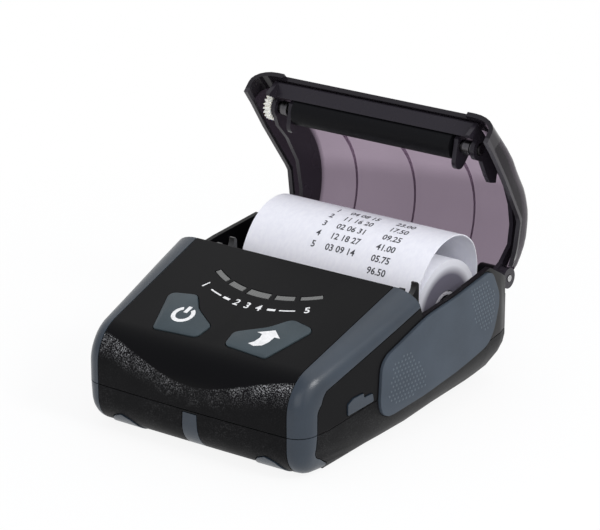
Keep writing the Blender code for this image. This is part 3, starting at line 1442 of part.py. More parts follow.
def lid_line():
    """Where the cover's flat front part meets its crown: the angle of the line and of the tangent."""
    run = LID_CROWN_Y - LID_FRONT_Y
    rise = LID_CROWN_Z - LID_FRONT_Z
    return math.atan2(rise, run) + math.asin(LID_CROWN_R / math.hypot(run, rise))


def lid_stations():
    """Places along the closed cover's outer surface, from its front edge over the crown to its back."""
    slope = lid_line()
    reach = Vector((-math.sin(slope), math.cos(slope))) * LID_CROWN_R
    tangent = Vector((LID_CROWN_Y, LID_CROWN_Z)) + reach
    front = Vector((LID_FRONT_Y, LID_FRONT_Z))
    stations = []
    for i in range(LID_ROWS_FLAT):
        point = front.lerp(tangent, i / LID_ROWS_FLAT)
        stations.append(Station(point.x, point.y, slope))
    for i in range(LID_ROWS_CROWN + 1):
        angle = lerp(slope, -LID_END_ANGLE, i / LID_ROWS_CROWN)
        y = LID_CROWN_Y - LID_CROWN_R * math.sin(angle)
        stations.append(Station(y, LID_CROWN_Z + LID_CROWN_R * math.cos(angle), angle))
    return stations


def lid_columns():
    """Shares across the cover's top from the middle to the corner, with room for ribs and ears."""
    half = RIB_T / 2
    edge = GAP / 3
    middle = [0.0, half, half + edge]
    rib = [RIB_X - half - edge, RIB_X - half, RIB_X + half, RIB_X + half + edge]
    return middle + rib + [LID_EAR_X - edge, LID_EAR_X]


def lid_corner(station):
    """The cover's corner at a station: where its top ends across, and how deep the corner reaches."""
    insets = []
    depths = []
    for share, growth in LID_CORNER_SHARES:
        y = lerp(PLATEN_Y, CASE_LENGTH, share)
        insets.append((y, LID_CROWN_INSET * growth))
        depths.append((y, lerp(LID_CORNER_DEPTH, LID_CROWN_DEPTH, growth)))
    return LID_TOP_X - interpolate(insets, station.y), interpolate(depths, station.y)


def lid_flank_x(station):
    """Half width of the cover's outside where its corner ends."""
    _, end_y, end_z = station.at(CASE_HALF_WIDTH, lid_corner(station)[1])
    return half_width(end_y, end_z)


def lid_point(station, column, inset, row):
    """A point of the cover: across its top, round its corner, or down its flank to the rim."""
    kind, value = column
    side = -1.0 if value < 0 or kind.endswith("left") else 1.0
    depth = inset
    along = station.y
    top_x, corner_depth = lid_corner(station)
    if kind == "top":
        x = value
        if abs(x) > RIB_X + RIB_T:
            x -= side * (LID_TOP_X - top_x)
        ribbed = min(abs(abs(x) - RIB_X), abs(x)) <= RIB_T / 2 + GAP / 6
        if inset and ribbed and station.y > RIB_FRONT_Y:
            depth += RIB_DEPTH
        _, y, z = Station(along, station.z, station.angle).at(CASE_HALF_WIDTH, depth)
    else:
        _, end_y, end_z = station.at(CASE_HALF_WIDTH, corner_depth)
        outer_x = lid_flank_x(station) - inset
        if kind.startswith("round"):
            angle = math.pi / 2 * value
            x = side * lerp(top_x, outer_x, math.sin(angle))
            _, y, z = station.at(CASE_HALF_WIDTH, inset + (corner_depth - inset) * (1.0 - math.cos(angle)))
        else:
            x = side * outer_x
            rim = rim_z(end_y) + LID_RIM_GAP
            y = end_y
            z = min(lerp(end_z, rim, value), end_z - GAP * value)
    if row == 0 and (kind != "top" or abs(value) >= LID_EAR_X):
        y -= LID_EAR * math.cos(station.angle)
        z -= LID_EAR * math.sin(station.angle)
        y = max(y, step_y(z) + LID_RIM_GAP)
    return (x, y, z)


def lid_grid(inset):
    """Rows of points over the cover from its left rim, across the top, to its right rim."""
    tops = lid_columns()
    columns = [("flank_left", 1.0)]
    columns += [("round_left", share) for share in LID_ROUND_SHARES]
    columns += [("top", -x) for x in reversed(tops[1:])] + [("top", x) for x in tops]
    columns += [("round_right", share) for share in reversed(LID_ROUND_SHARES)]
    columns.append(("flank_right", 1.0))
    grid = []
    for row, station in enumerate(lid_stations()):
        grid.append([lid_point(station, column, inset, row) for column in columns])
    return grid


def make_lid_cover():
    """The smoky cover: an even shell with three ribs under its top."""
    outer = lid_grid(0.0)
    inner = lid_grid(LID_T)
    rings = []
    for outside, inside in zip(outer, inner):
        rings.append(outside + inside[::-1])
    cover = solid("lid_cover", rings, strip_caps=True)
    for side, hand in ((-1, "left"), (1, "right")):
        stations = (
            (side * (CHEEK_X - GAP * 2), KNUCKLE_R + GAP * 2),
            (side * (CASE_HALF_WIDTH + OVERRUN), KNUCKLE_R + GAP * 2),
        )
        boolean(cover, turned_x("knuckle_clearance_" + hand, (HINGE_Y, HINGE_Z), stations, 24))
    return finish(cover, SMOKE, 0.15, alpha=0.6)


def cheek_top(station):
    """The point just under the cover's inner surface at a cheek's outer face."""
    top_x, corner_depth = lid_corner(station)
    across = (CHEEK_X + CHEEK_T - top_x) / (lid_flank_x(station) - LID_T - top_x)
    across = min(max(across, 0.0), 1.0)
    depth = LID_T + GAP * 2 + (corner_depth - LID_T) * (1.0 - math.sqrt(1.0 - across * across))
    _, y, z = station.at(CASE_HALF_WIDTH, depth)
    return (y, z)


# Lower edges of the cover's cheeks from the hinge forward, as shares of the way from the hinge to the
# platen and heights above the hinge axis as shares of the platen's height above it. The right one is a
# narrow rib that ends in a tab beside the platen.
CHEEK_LEFT_SHARES = (
    (0.085, -0.10),
    (0.29, 0.55),
    (0.51, 0.86),
    (0.74, 0.80),
    (0.90, 0.60),
)


CHEEK_RIGHT_SHARES = (
    (0.085, -0.10),
    (0.075, 0.27),
    (0.110, 0.95),
    (0.220, 1.36),
    (0.365, 1.59),
    (0.528, 1.66),
    (0.637, 1.61),
    (0.719, 1.50),
    (0.650, 1.21),
    (0.702, 0.947),
    (0.773, 0.912),
    (0.905, 0.912),
)


def cheek_outline(edge_shares):
    top = [cheek_top(station) for station in reversed(lid_stations()[1:])]
    top = [p for p in top if p[0] < HINGE_Y - KNUCKLE_R / 2]
    knuckle = arc((HINGE_Y, HINGE_Z), KNUCKLE_R, math.radians(225), math.radians(450), 10)
    run = PLATEN_Y - HINGE_Y
    rise = PLATEN_Z - HINGE_Z
    low = [(HINGE_Y + u * run, HINGE_Z + v * rise) for u, v in edge_shares]
    eye = arc((PLATEN_Y, PLATEN_Z), HOLDER_R, math.radians(-70), math.radians(-180), 6)
    front_y = bar_outline()[0][0]
    gusset = [(front_y, PLATEN_Z - GUSSET_DROP + GAP), (front_y + WALL / 2, PLATEN_Z - GUSSET_DROP)]
    return knuckle + top + bar_outline()[:1] + gusset + eye[::-1] + low[::-1]


def bar_outline():
    """The cover's front bar, clear of the paper's way out under it and of the platen behind it."""
    front = LID_FRONT_Y + LID_T - GAP
    rear = PLATEN_Y - PLATEN_R - GAP * 2
    way_out = sum(nip()) + GAP * 3
    slope = math.tan(lid_line())
    under = LID_T / math.cos(lid_line()) + GAP + GAP / 3
    top_front = LID_FRONT_Z + (front - LID_FRONT_Y) * slope - under
    top_rear = LID_FRONT_Z + (rear - LID_FRONT_Y) * slope - under
    return [(front, way_out - front), (front, top_front), (rear, top_rear), (rear, way_out - rear)]


def holder_outline():
    """An inner platen holder: an eye round the shaft that runs on into a broad round lobe."""
    eye = arc((PLATEN_Y, PLATEN_Z), HOLDER_R, math.radians(75), math.radians(195), 8)
    tip = (PLATEN_Y + HOLDER_TIP_LEAD, PLATEN_Z - HOLDER_TIP_DROP)
    lobe = arc(tip, HOLDER_TIP_R, math.radians(215), math.radians(365), 8)
    return eye + lobe + [(PLATEN_Y + HOLDER_BACK_LEAD, PLATEN_Z + HOLDER_BACK_LIFT)]


def make_lid_frame():
    """The dark inner frame: a front bar, two cheeks that end in hinge knuckles, and platen holders."""
    frame = prism_x("lid_frame", bar_outline(), -CHEEK_X - CHEEK_T, CHEEK_X + CHEEK_T)
    for side, hand in ((-1, "left"), (1, "right")):
        low = side * CHEEK_X
        high = side * (CHEEK_X + CHEEK_T)
        shares = CHEEK_LEFT_SHARES if side < 0 else CHEEK_RIGHT_SHARES
        cheek = prism_x("cheek_" + hand, cheek_outline(shares), min(low, high), max(low, high))
        boolean(frame, cheek, "UNION")
        knuckle_stations = ((side * CHEEK_X, KNUCKLE_R), (side * KNUCKLE_OUT_X, KNUCKLE_R))
        boolean(frame, turned_x("knuckle_" + hand, (HINGE_Y, HINGE_Z), knuckle_stations, 24), "UNION")
        low = side * HOLDER_X
        high = side * (HOLDER_X + HOLDER_T)
        holder = prism_x("holder_" + hand, holder_outline(), min(low, high), max(low, high))
        boolean(frame, holder, "UNION")
        y_bar, z_bar = bar_outline()[2]
        arm = [
            (y_bar - HOLDER_R / 2, z_bar - GAP),
            (y_bar - HOLDER_R / 2, bar_outline()[3][1] + HOLDER_R / 2),
            (PLATEN_Y, PLATEN_Z + HOLDER_R / 2 + GAP),
            (PLATEN_Y, PLATEN_Z + HOLDER_R - GAP),
        ]
        boolean(frame, prism_x("holder_arm_" + hand, arm, min(low, high), max(low, high)), "UNION")
        hole = ((side * (HOLDER_X - OVERRUN), SHAFT_R + GAP), (side * (CASE_HALF_WIDTH), SHAFT_R + GAP))
        boolean(frame, turned_x("shaft_hole_" + hand, (PLATEN_Y, PLATEN_Z), hole, 16))
        bore_r = HINGE_PIN_R + PIN_CLEARANCE
        bore = ((side * (CHEEK_X - OVERRUN), bore_r), (side * (KNUCKLE_OUT_X + OVERRUN), bore_r))
        boolean(frame, turned_x("knuckle_bore_" + hand, (HINGE_Y, HINGE_Z), bore, 12))
    return finish(frame, BLACK, 0.35)


def make_hinge_pins():
    pins = []
    for side, hand in ((-1, "left"), (1, "right")):
        stations = ((side * (LUG_X + GAP), HINGE_PIN_R), (side * (KNUCKLE_OUT_X + GAP), HINGE_PIN_R))
        pins.append(finish(turned_x("hinge_pin_" + hand, (HINGE_Y, HINGE_Z), stations, 12), STEEL, 0.3, 1.0))
    return pins


def make_platen():
    """Roller, shaft and gear, which turn together in the cover."""
    centre = (PLATEN_Y, PLATEN_Z)
    roller = tube_x("platen_roller", centre, -PLATEN_HALF_X, PLATEN_HALF_X, PLATEN_R, SHAFT_R + GAP, 32)
    shaft = turned_x("platen_shaft", centre, ((SHAFT_LEFT_X, SHAFT_R), (SHAFT_RIGHT_X, SHAFT_R)), 16)
    wheel = gear("platen_gear", centre, PLATEN_TEETH, IDLER_DIRECTION, GEAR_BORE_R)
    return [finish(roller, RUBBER, 0.6), finish(shaft, STEEL, 0.3, 1.0), finish(wheel, CREAM, 0.45)]


def make_bearings():
    centre = (PLATEN_Y, PLATEN_Z)
    pieces = []
    for side, hand in ((-1, "left"), (1, "right")):
        low = side * BEARING_X
        high = side * (BEARING_X + BEARING_WIDTH)
        name = "platen_bearing_" + hand
        ring = tube_x(name, centre, min(low, high), max(low, high), BEARING_R, GEAR_BORE_R, 20)
        pieces.append(finish(ring, STEEL, 0.3, 1.0))
    clip = tube_x("retaining_clip", centre, CLIP_X, CLIP_X + CLIP_T, CLIP_R, GEAR_BORE_R, 16)
    pieces.append(finish(clip, STEEL, 0.3, 1.0))
    return pieces


clear_scene()
case_frame = empty("case_frame", (0.0, -CASE_LENGTH / 2, 0.0))
hinge_base = (0.0, HINGE_Y, HINGE_Z)
lid_axis = empty("lid_hinge_axis", hinge_base, case_frame, -LID_OPEN)
platen_base = (0.0, PLATEN_Y, PLATEN_Z)
platen_axis = empty("platen_axis", (0.0, PLATEN_Y - HINGE_Y, PLATEN_Z - HINGE_Z), lid_axis)
roll_axis = empty("paper_roll_axis", (0.0, ROLL_Y, ROLL_Z), case_frame)
idler_axis = empty("idler_axis", (0.0, *idler_centre()), case_frame)
pinion_axis = empty("pinion_axis", (0.0, *pinion_centre()), case_frame)
port_axis_guide = empty("port_cover_axis", port_axis(), case_frame)

fixed = [make_upper_case(), make_lower_case(), make_bin()]
fixed += make_screws() + make_trim() + make_lights() + make_key_board() + make_main_board() + make_battery()
fixed += make_mechanism() + make_hinge_pins()
fixed += [make_key("power_button", -1), make_key("feed_button", 1)]


def hang_fixed(piece):
    """Parent a piece and its tools to the case frame where they are drawn."""
    piece.parent = case_frame
    for change in piece.modifiers:
        if change.type == "BOOLEAN":
            hang_fixed(change.object)


for part in fixed:
    hang_fixed(part)

idler_piece, pinion_piece = make_gears()
place(idler_piece, idler_axis, (0.0, *idler_centre()))
place(pinion_piece, pinion_axis, (0.0, *pinion_centre()))
place(make_port_cover(), port_axis_guide, port_axis())
roll_piece, core_piece, tail_piece = make_paper()
place(roll_piece, roll_axis, (0.0, ROLL_Y, ROLL_Z))
place(core_piece, roll_axis, (0.0, ROLL_Y, ROLL_Z))
hang_fixed(tail_piece)
for part in [make_lid_cover(), make_lid_frame()] + make_bearings():
    place(part, lid_axis, hinge_base)
for part in make_platen():
    place(part, platen_axis, platen_base)
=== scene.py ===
"""Looks for the portable receipt printer: materials, small surface details, light and camera.

Metres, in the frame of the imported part: -Y is the nose, +Z is up, and the origin is under the case's middle.
"""

import math

import bmesh
import bpy
from mathutils import Matrix, Vector
from mathutils.bvhtree import BVHTree


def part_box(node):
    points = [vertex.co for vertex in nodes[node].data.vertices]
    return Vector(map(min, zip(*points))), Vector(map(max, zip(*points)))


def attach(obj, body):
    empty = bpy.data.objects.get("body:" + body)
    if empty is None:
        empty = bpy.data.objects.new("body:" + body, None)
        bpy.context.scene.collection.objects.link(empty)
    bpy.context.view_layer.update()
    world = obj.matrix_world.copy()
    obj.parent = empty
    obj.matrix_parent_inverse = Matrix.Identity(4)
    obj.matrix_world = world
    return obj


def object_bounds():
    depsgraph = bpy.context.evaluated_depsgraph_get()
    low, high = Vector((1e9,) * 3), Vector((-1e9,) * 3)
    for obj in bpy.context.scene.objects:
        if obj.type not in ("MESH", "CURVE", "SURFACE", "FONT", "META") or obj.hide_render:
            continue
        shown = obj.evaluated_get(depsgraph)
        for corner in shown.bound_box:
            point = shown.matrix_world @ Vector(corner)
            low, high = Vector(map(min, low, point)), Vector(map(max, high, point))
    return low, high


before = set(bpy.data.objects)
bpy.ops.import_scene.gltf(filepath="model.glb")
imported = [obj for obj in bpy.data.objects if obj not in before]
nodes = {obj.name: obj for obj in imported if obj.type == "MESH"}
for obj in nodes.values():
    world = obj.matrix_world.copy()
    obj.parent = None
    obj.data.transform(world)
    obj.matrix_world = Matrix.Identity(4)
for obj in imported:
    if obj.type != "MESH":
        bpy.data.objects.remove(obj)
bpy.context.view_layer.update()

# Panel: the slope that carries keys, windows and marks
PANEL_ANGLE = math.radians(17.13)
PANEL_REAR_Y = -0.0042
PANEL_REAR_Z = 0.0537
KEY_X = 0.0186
KEY_Y = -0.045
KEY_PROUD = 0.0007
LIGHT_ARC_Y = 0.0156

# Printed and raised details
INK_T = 0.00004
INK_LIFT = 0.00003
DOT_PITCH = 0.0019
DOT_R = 0.0005
DOT_H = 0.00028
DOT_SINK = 0.00010
DOT_RAY_X = 0.08
DOT_FACING = 0.7

# Numbers and dashes under the windows, by angle in degrees along their arc
MARK_ARC_R = 0.0498
MARK_SIZE = 0.0046
MARK_LIFT = 0.00003
DIGIT_WEIGHT = 0.00008
MARK_NUMBERS = (("1", -27.0), ("2", -5.6), ("3", 0.0), ("4", 5.6), ("5", 27.0))
# Each dash: its angle, length and width
MARK_DASHES = (
    (-18.5, 0.0060, 0.0006), (-11.5, 0.0032, 0.0011),
    (11.5, 0.0032, 0.0011), (18.5, 0.0060, 0.0006),
)

# Curved line across the nose, above which the plastic is smooth and below which it has a coarser grain, with a
# painted glint near the line
SMILE_LOW_Z = 0.0254
SMILE_RISE = 0.0108
SMILE_HALF_X = 0.030
SMILE_EDGE = (-0.0003, 0.0004)
# Painted glint: below the curved line the specks are painted brighter within this reach, strongest at the left
# and right
PAINTED_GLINT_REACH = 0.0090
# The coarse grain and its painted glint fade out between these places along, and at the side walls by squared
# half widths
NOSE_Y = (-0.052, -0.046)
NOSE_SIDE_SHARES = (2.45, 2.60)

# Ends of the paper roll: a painted shadow darkens the inner turns, out to these radii
PAINTED_SHADOW_RADII = (0.0148, 0.0182)
RING_RADIANS_PER_METRE = 16000.0

# Receipt print
ROW_STEP = 0.0048
ROW_START = math.radians(86)
DIGIT_H = 0.0026
DIGIT_SHARE = 0.7
RECEIPT_WEIGHT = 0.00007
PAPER_SCAN = range(10, 171)
PAPER_REACH = 0.06

# Cover, as it lies when shut
HINGE_AXIS = (0.0, 0.0646, 0.0374)
COVER_OPEN = math.radians(61.5)
# Painted shade covers the flanks from here outwards
FLANK_X = 0.0452
FRONT_BAND_Y = 0.0046
# The rim's line along the cover, with a band of painted shade along it
RIM_FRONT_Y = -0.0011
RIM_FRONT_Z = 0.04365
RIM_FRONT_SLOPE = 0.1039
RIM_BEND_Y = 0.0446
RIM_BEND_Z = 0.0484
RIM_REAR_SLOPE = 0.5503
RIM_BAND = 0.0016
# Painted light across the window: a darker band from here towards the hinge, tilted a little across, leaves
# the upper part lighter like a soft reflection
WINDOW_SHADE_BAND_Y = (0.040, 0.047)
WINDOW_SHADE_BAND_TILT = 0.12

# Colours
CASE_BLACK = (0.0022, 0.0022, 0.0028)
# Colour of the case's light specks: random grain, and on the lower nose a painted glint
CASE_SPECK_AND_GLINT = (0.78, 0.78, 0.80)
# Flank tint: painted shade at the cover's corners
FLANK_SHADE_TINT = (0.32, 0.28, 0.33)
WINDOW_TINT = (0.69, 0.62, 0.69)
# Window's lower band: painted shade against the lighter upper window
WINDOW_PAINTED_SHADE_TINT = (0.56, 0.50, 0.56)
SMOKE_BODY = (0.10, 0.075, 0.10)
# Deep tint for the front band and the painted shade at the flanks; then the rim's painted shade
SMOKE_DEEP_AND_SHADE = (0.012, 0.010, 0.013)
SMOKE_RIM_SHADE = (0.036, 0.033, 0.038)
GUARD_BLUE = (0.017, 0.027, 0.041)
KEY_BLUE = (0.044, 0.0595, 0.069)
PAD_BLUE = (0.047, 0.060, 0.078)
# Studs are toned lighter than their pad: a painted highlight
DOT_HIGHLIGHT_BLUE = (0.085, 0.105, 0.125)
FRAME_BLACK = (0.020, 0.017, 0.023)
PALE_STEEL = (0.52, 0.52, 0.53)
DARK_STEEL = (0.12, 0.115, 0.12)
HEAD_ALUMINIUM = (0.62, 0.63, 0.64)
PAPER_TONES = ((0.80, 0.80, 0.865), (0.86, 0.86, 0.91))
TURN_TONES = ((0.80, 0.80, 0.87), (0.92, 0.92, 0.97))
# Colour of the painted shadow over the roll's inner turns
INNER_TURNS_SHADOW = (0.15, 0.14, 0.185)
WHITE_INK = (0.84, 0.84, 0.84)
PAPER_INK = (0.03, 0.03, 0.04)

# Middle of a noise, where most of its values lie
NOISE_BAND = (0.3, 0.7)

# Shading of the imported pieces
MERGE_DISTANCE = 0.000002
SHARP_ANGLE = math.radians(32)

# World: white to the camera, soft as a light, and darker ahead of the nose in mirror directions
SKY_COLOUR = (0.93, 0.95, 1.0, 1.0)
SKY_STRENGTH = 0.7
FRONT_MIRROR = 0.08
MIRROR_Y = (-0.30, 0.40)

# Floor: takes the shadow near the part and glows white further out
FLOOR_RADIUS = 2.2
FLOOR_DROP = 0.0001
FLOOR_GLOW_REACH = (0.09, 0.30)
FLOOR_GLOW = (0.88, 1.0)

# Lamps: name, place, target, size, watts
LAMPS = (
    ("top_softbox", (0.1, 0.15, 1.0), (0.0, 0.0, 0.03), (0.9, 0.7), 1.5),
    ("front_softbox", (0.55, -1.15, 0.62), (0.0, -0.02, 0.04), (0.9, 0.7), 3.0),
    ("glint_softbox", (0.87, -0.04, 0.78), (0.05, -0.055, 0.034), (0.3, 0.3), 5.0),
    ("right_softbox", (0.95, -0.25, 0.45), (0.0, 0.0, 0.04), (0.5, 0.7), 0.7),
)

# Camera
CAMERA_AZIMUTH = math.radians(35.99)
CAMERA_ELEVATION = math.radians(20.04)
CAMERA_DISTANCE = 1.07818
CAMERA_TARGET = Vector((0.0040, -0.0055, 0.05364))
CAMERA_LENS = 179.2
CAMERA_SENSOR = 36.0


class Look:
    """A node material built round one Principled shader."""

    def __init__(self, name, colour, roughness, metallic=0.0):
        self.material = bpy.data.materials.new(name)
        self.material.use_nodes = True
        self.tree = self.material.node_tree
        self.shader = self.tree.nodes["Principled BSDF"]
        self.output = self.tree.nodes["Material Output"]
        self.shader.inputs["Base Color"].default_value = (*colour, 1.0)
        self.shader.inputs["Roughness"].default_value = roughness
        self.shader.inputs["Metallic"].default_value = metallic

    def node(self, kind, **values):
        made = self.tree.nodes.new("ShaderNode" + kind)
        for key, value in values.items():
            setattr(made, key, value)
        return made

    def link(self, source, target):
        self.tree.links.new(source, target)

    def place(self, scale=(1.0, 1.0, 1.0)):
        """Coordinates fixed to the piece, stretched by a scale."""
        coordinates = self.node("TexCoord")
        mapping = self.node("Mapping")
        mapping.inputs["Scale"].default_value = scale
        self.link(coordinates.outputs["Object"], mapping.inputs["Vector"])
        return mapping.outputs["Vector"]

    def noise(self, scale, detail=2.0, stretch=(1.0, 1.0, 1.0), roughness=0.5):
        made = self.node("TexNoise")
        made.inputs["Scale"].default_value = scale
        made.inputs["Detail"].default_value = detail
        made.inputs["Roughness"].default_value = roughness
        self.link(self.place(stretch), made.inputs["Vector"])
        return made.outputs["Fac"]

    def range(self, value, low, high, to_low, to_high):
        made = self.node("MapRange")
        self.link(value, made.inputs["Value"])
        made.inputs["From Min"].default_value = low
        made.inputs["From Max"].default_value = high
        made.inputs["To Min"].default_value = to_low
        made.inputs["To Max"].default_value = to_high
        return made.outputs["Result"]

    def mix_colour(self, factor, first, second):
        made = self.node("Mix", data_type="RGBA")
        for socket, value in (("Factor", factor), ("A", first), ("B", second)):
            target = [s for s in made.inputs if s.name == socket and s.enabled][0]
            if isinstance(value, tuple):
                target.default_value = (*value, 1.0)
            elif isinstance(value, float):
                target.default_value = value
            else:
                self.link(value, target)
        return [s for s in made.outputs if s.enabled][0]

    def math(self, operation, first, second=None):
        made = self.node("Math", operation=operation)
        for socket, value in zip(made.inputs, (first, second)):
            if value is None:
                continue
            if isinstance(value, float):
                socket.default_value = value
            else:
                self.link(value, socket)
        return made.outputs["Value"]

    def soften_edges(self, radius=0.00025):
        bevel = self.node("Bevel", samples=4)
        bevel.inputs["Radius"].default_value = radius
        return bevel.outputs["Normal"]

    def bump(self, height, strength, distance, normal=None):
        made = self.node("Bump")
        made.inputs["Strength"].default_value = strength
        made.inputs["Distance"].default_value = distance
        self.link(height, made.inputs["Height"])
        if normal is not None:
            self.link(normal, made.inputs["Normal"])
        self.link(made.outputs["Normal"], self.shader.inputs["Normal"])
        return made.outputs["Normal"]

    def value(self, number):
        made = self.node("Value")
        made.outputs["Value"].default_value = number
        return made.outputs["Value"]

    def set(self, socket, value):
        self.link(value, self.shader.inputs[socket])

    def constant(self, socket, value):
        self.shader.inputs[socket].default_value = value


def below_smile(look):
    """Two masks for the nose: one for all under the curved line, and a painted glint that fades away from it,
    brighter at the sides.
    """
    split = look.node("SeparateXYZ")
    look.link(look.place(), split.inputs["Vector"])
    across = look.math("DIVIDE", split.outputs["X"], SMILE_HALF_X)
    squared = look.math("MULTIPLY", across, across)
    fall = look.math("EXPONENT", look.math("MULTIPLY", squared, -1.0))
    rise = look.math("MULTIPLY", look.math("SUBTRACT", 1.0, fall), SMILE_RISE)
    below = look.math("SUBTRACT", look.math("ADD", rise, SMILE_LOW_Z), split.outputs["Z"])
    ahead = look.range(split.outputs["Y"], *NOSE_Y, 1.0, 0.0)
    front = look.math("MULTIPLY", ahead, look.range(squared, *NOSE_SIDE_SHARES, 1.0, 0.0))
    mask = look.math("MULTIPLY", look.range(below, *SMILE_EDGE, 0.0, 1.0), front)
    # Painted glint: brightest at the curved line, fading downwards and stronger towards the sides
    near = look.range(below, 0.0, PAINTED_GLINT_REACH, 1.0, 0.0)
    sides = look.range(squared, 0.0, 1.0, 0.3, 1.0)
    return mask, look.math("MULTIPLY", look.math("MULTIPLY", near, near), sides)


def case_plastic(name, grained_below_smile):
    """Black moulded plastic; the lower nose has a coarser grain under a curved line, with a painted glint of
    light specks just below it.
    """
    look = Look(name, CASE_BLACK, 0.38)
    look.constant("Specular IOR Level", 0.08)
    fine = look.noise(2600.0, 3.0)
    coarse = look.noise(1500.0, 2.0, roughness=0.7)
    wide = look.noise(45.0, 2.0)
    if grained_below_smile:
        mask, glint_and_speck = below_smile(look)
    else:
        mask = look.value(1.0)
        glint_and_speck = look.range(wide, *NOISE_BAND, 0.01, 0.03)
    grain = look.math("MULTIPLY", coarse, look.range(mask, 0.0, 1.0, 0.12, 0.8))
    patch = look.range(look.noise(160.0, 2.0), 0.35, 0.65, 0.25, 1.0)
    speck = look.math("MULTIPLY", look.range(look.noise(2400.0, 2.0), 0.50, 0.72, 0.0, 1.0), patch)
    base = look.range(mask, 0.0, 1.0, 0.0, 0.012)
    # Specks near the nose's curved line get a painted glint; on plain pieces their brightness only varies at
    # random
    lit = look.math("ADD", look.math("MULTIPLY", glint_and_speck, mask), base)
    look.set("Base Color", look.mix_colour(look.math("MULTIPLY", speck, lit), CASE_BLACK, CASE_SPECK_AND_GLINT))
    sheen = look.range(wide, *NOISE_BAND, -0.03, 0.03)
    look.set("Roughness", look.math("ADD", sheen, look.range(mask, 0.0, 1.0, 0.3, 0.46)))
    height = look.math("ADD", grain, look.math("MULTIPLY", fine, 0.2))
    step = look.math("MULTIPLY", mask, -2.2)
    look.bump(look.math("ADD", height, step), 0.5, 0.00012, look.soften_edges(0.00035))
    return look.material


def soft_rubber(name, colour, roughness=0.52, coat=0.0):
    """Blue-grey soft-touch moulding."""
    look = Look(name, colour, roughness)
    look.constant("Specular IOR Level", 0.2)
    look.constant("Coat Weight", coat)
    look.constant("Coat Roughness", 0.27)
    wide = look.noise(60.0, 3.0)
    fine = look.noise(3200.0, 3.0)
    dark = tuple(c * 0.86 for c in colour)
    light = tuple(min(c * 1.12, 1.0) for c in colour)
    look.set("Base Color", look.mix_colour(look.range(wide, *NOISE_BAND, 0.0, 1.0), dark, light))
    look.set("Roughness", look.range(fine, *NOISE_BAND, roughness - 0.06, roughness + 0.08))
    look.bump(fine, 0.25, 0.00006, look.soften_edges(0.0003))
    return look.material


def shut_cover_place(look):
    """Coordinates of the cover as if it were shut: across, along and up from the hinge axis."""
    turned = look.node("VectorRotate", rotation_type="X_AXIS")
    turned.inputs["Center"].default_value = HINGE_AXIS
    turned.inputs["Angle"].default_value = COVER_OPEN
    look.link(look.place(), turned.inputs["Vector"])
    split = look.node("SeparateXYZ")
    look.link(turned.outputs["Vector"], split.inputs["Vector"])
    return split.outputs["X"], split.outputs["Y"], split.outputs["Z"]


def smoked_plastic(name):
    """Tinted see-through plastic: clear over the window, dark at its front band, with painted shade deep at
    the flanks and black along its rim, and a painted darker band low in the window.
    """
    look = Look(name, SMOKE_BODY, 0.08)
    look.constant("Specular IOR Level", 0.25)
    look.bump(look.noise(140.0, 2.0), 0.08, 0.0001)
    across, along, up = shut_cover_place(look)
    wide = look.math("ABSOLUTE", across)
    # Painted shade: the flanks are tinted darker and less clear, standing in for shade at the cover's rounded
    # corners
    flank_shade = look.range(wide, FLANK_X - 0.001, FLANK_X + 0.0012, 0.0, 1.0)
    front = look.range(along, FRONT_BAND_Y, FRONT_BAND_Y + 0.0006, 1.0, 0.0)
    ahead = look.math("MULTIPLY", look.math("SUBTRACT", along, RIM_FRONT_Y), RIM_FRONT_SLOPE)
    behind = look.math("MULTIPLY", look.math("SUBTRACT", along, RIM_BEND_Y), -RIM_REAR_SLOPE)
    ahead = look.math("ADD", ahead, RIM_FRONT_Z)
    behind = look.math("ADD", behind, RIM_BEND_Z)
    rim = look.math("MINIMUM", ahead, behind)
    # Painted shade: a band along the rim is darkened, standing in for light lost through the thick edge
    rim_shade = look.range(look.math("SUBTRACT", up, rim), RIM_BAND, RIM_BAND + 0.0005, 1.0, 0.0)
    dark = look.math("MAXIMUM", front, rim_shade)
    clear = look.node("BsdfTransparent")
    # Painted light: a darker band of the window towards the hinge, leaving its upper part lighter like a soft
    # reflection
    tilted = look.math("ADD", along, look.math("MULTIPLY", across, WINDOW_SHADE_BAND_TILT))
    painted_shade_band = look.range(tilted, *WINDOW_SHADE_BAND_Y, 0.0, 1.0)
    window = look.mix_colour(painted_shade_band, WINDOW_TINT, WINDOW_PAINTED_SHADE_TINT)
    look.link(look.mix_colour(flank_shade, window, FLANK_SHADE_TINT), clear.inputs["Color"])
    deep_and_shade = look.mix_colour(look.math("MAXIMUM", front, flank_shade), SMOKE_BODY, SMOKE_DEEP_AND_SHADE)
    look.set("Base Color", look.mix_colour(rim_shade, deep_and_shade, SMOKE_RIM_SHADE))
    mix = look.node("MixShader")
    cloud = look.range(look.noise(30.0, 2.0), *NOISE_BAND, 0.17, 0.22)
    veil = look.math("ADD", cloud, look.math("MULTIPLY", flank_shade, 0.35))
    look.link(look.math("MAXIMUM", veil, dark), mix.inputs["Fac"])
    look.link(clear.outputs["BSDF"], mix.inputs[1])
    look.link(look.shader.outputs["BSDF"], mix.inputs[2])
    look.link(mix.outputs["Shader"], look.output.inputs["Surface"])
    return look.material


def gloss_black(name):
    """Shiny black moulding with a faint purple cast."""
    look = Look(name, FRAME_BLACK, 0.24)
    look.constant("Specular IOR Level", 0.25)
    wide = look.noise(90.0, 2.0)
    look.set("Roughness", look.range(wide, *NOISE_BAND, 0.2, 0.3))
    look.bump(look.noise(420.0, 2.0), 0.05, 0.0001, look.soften_edges(0.00015))
    return look.material


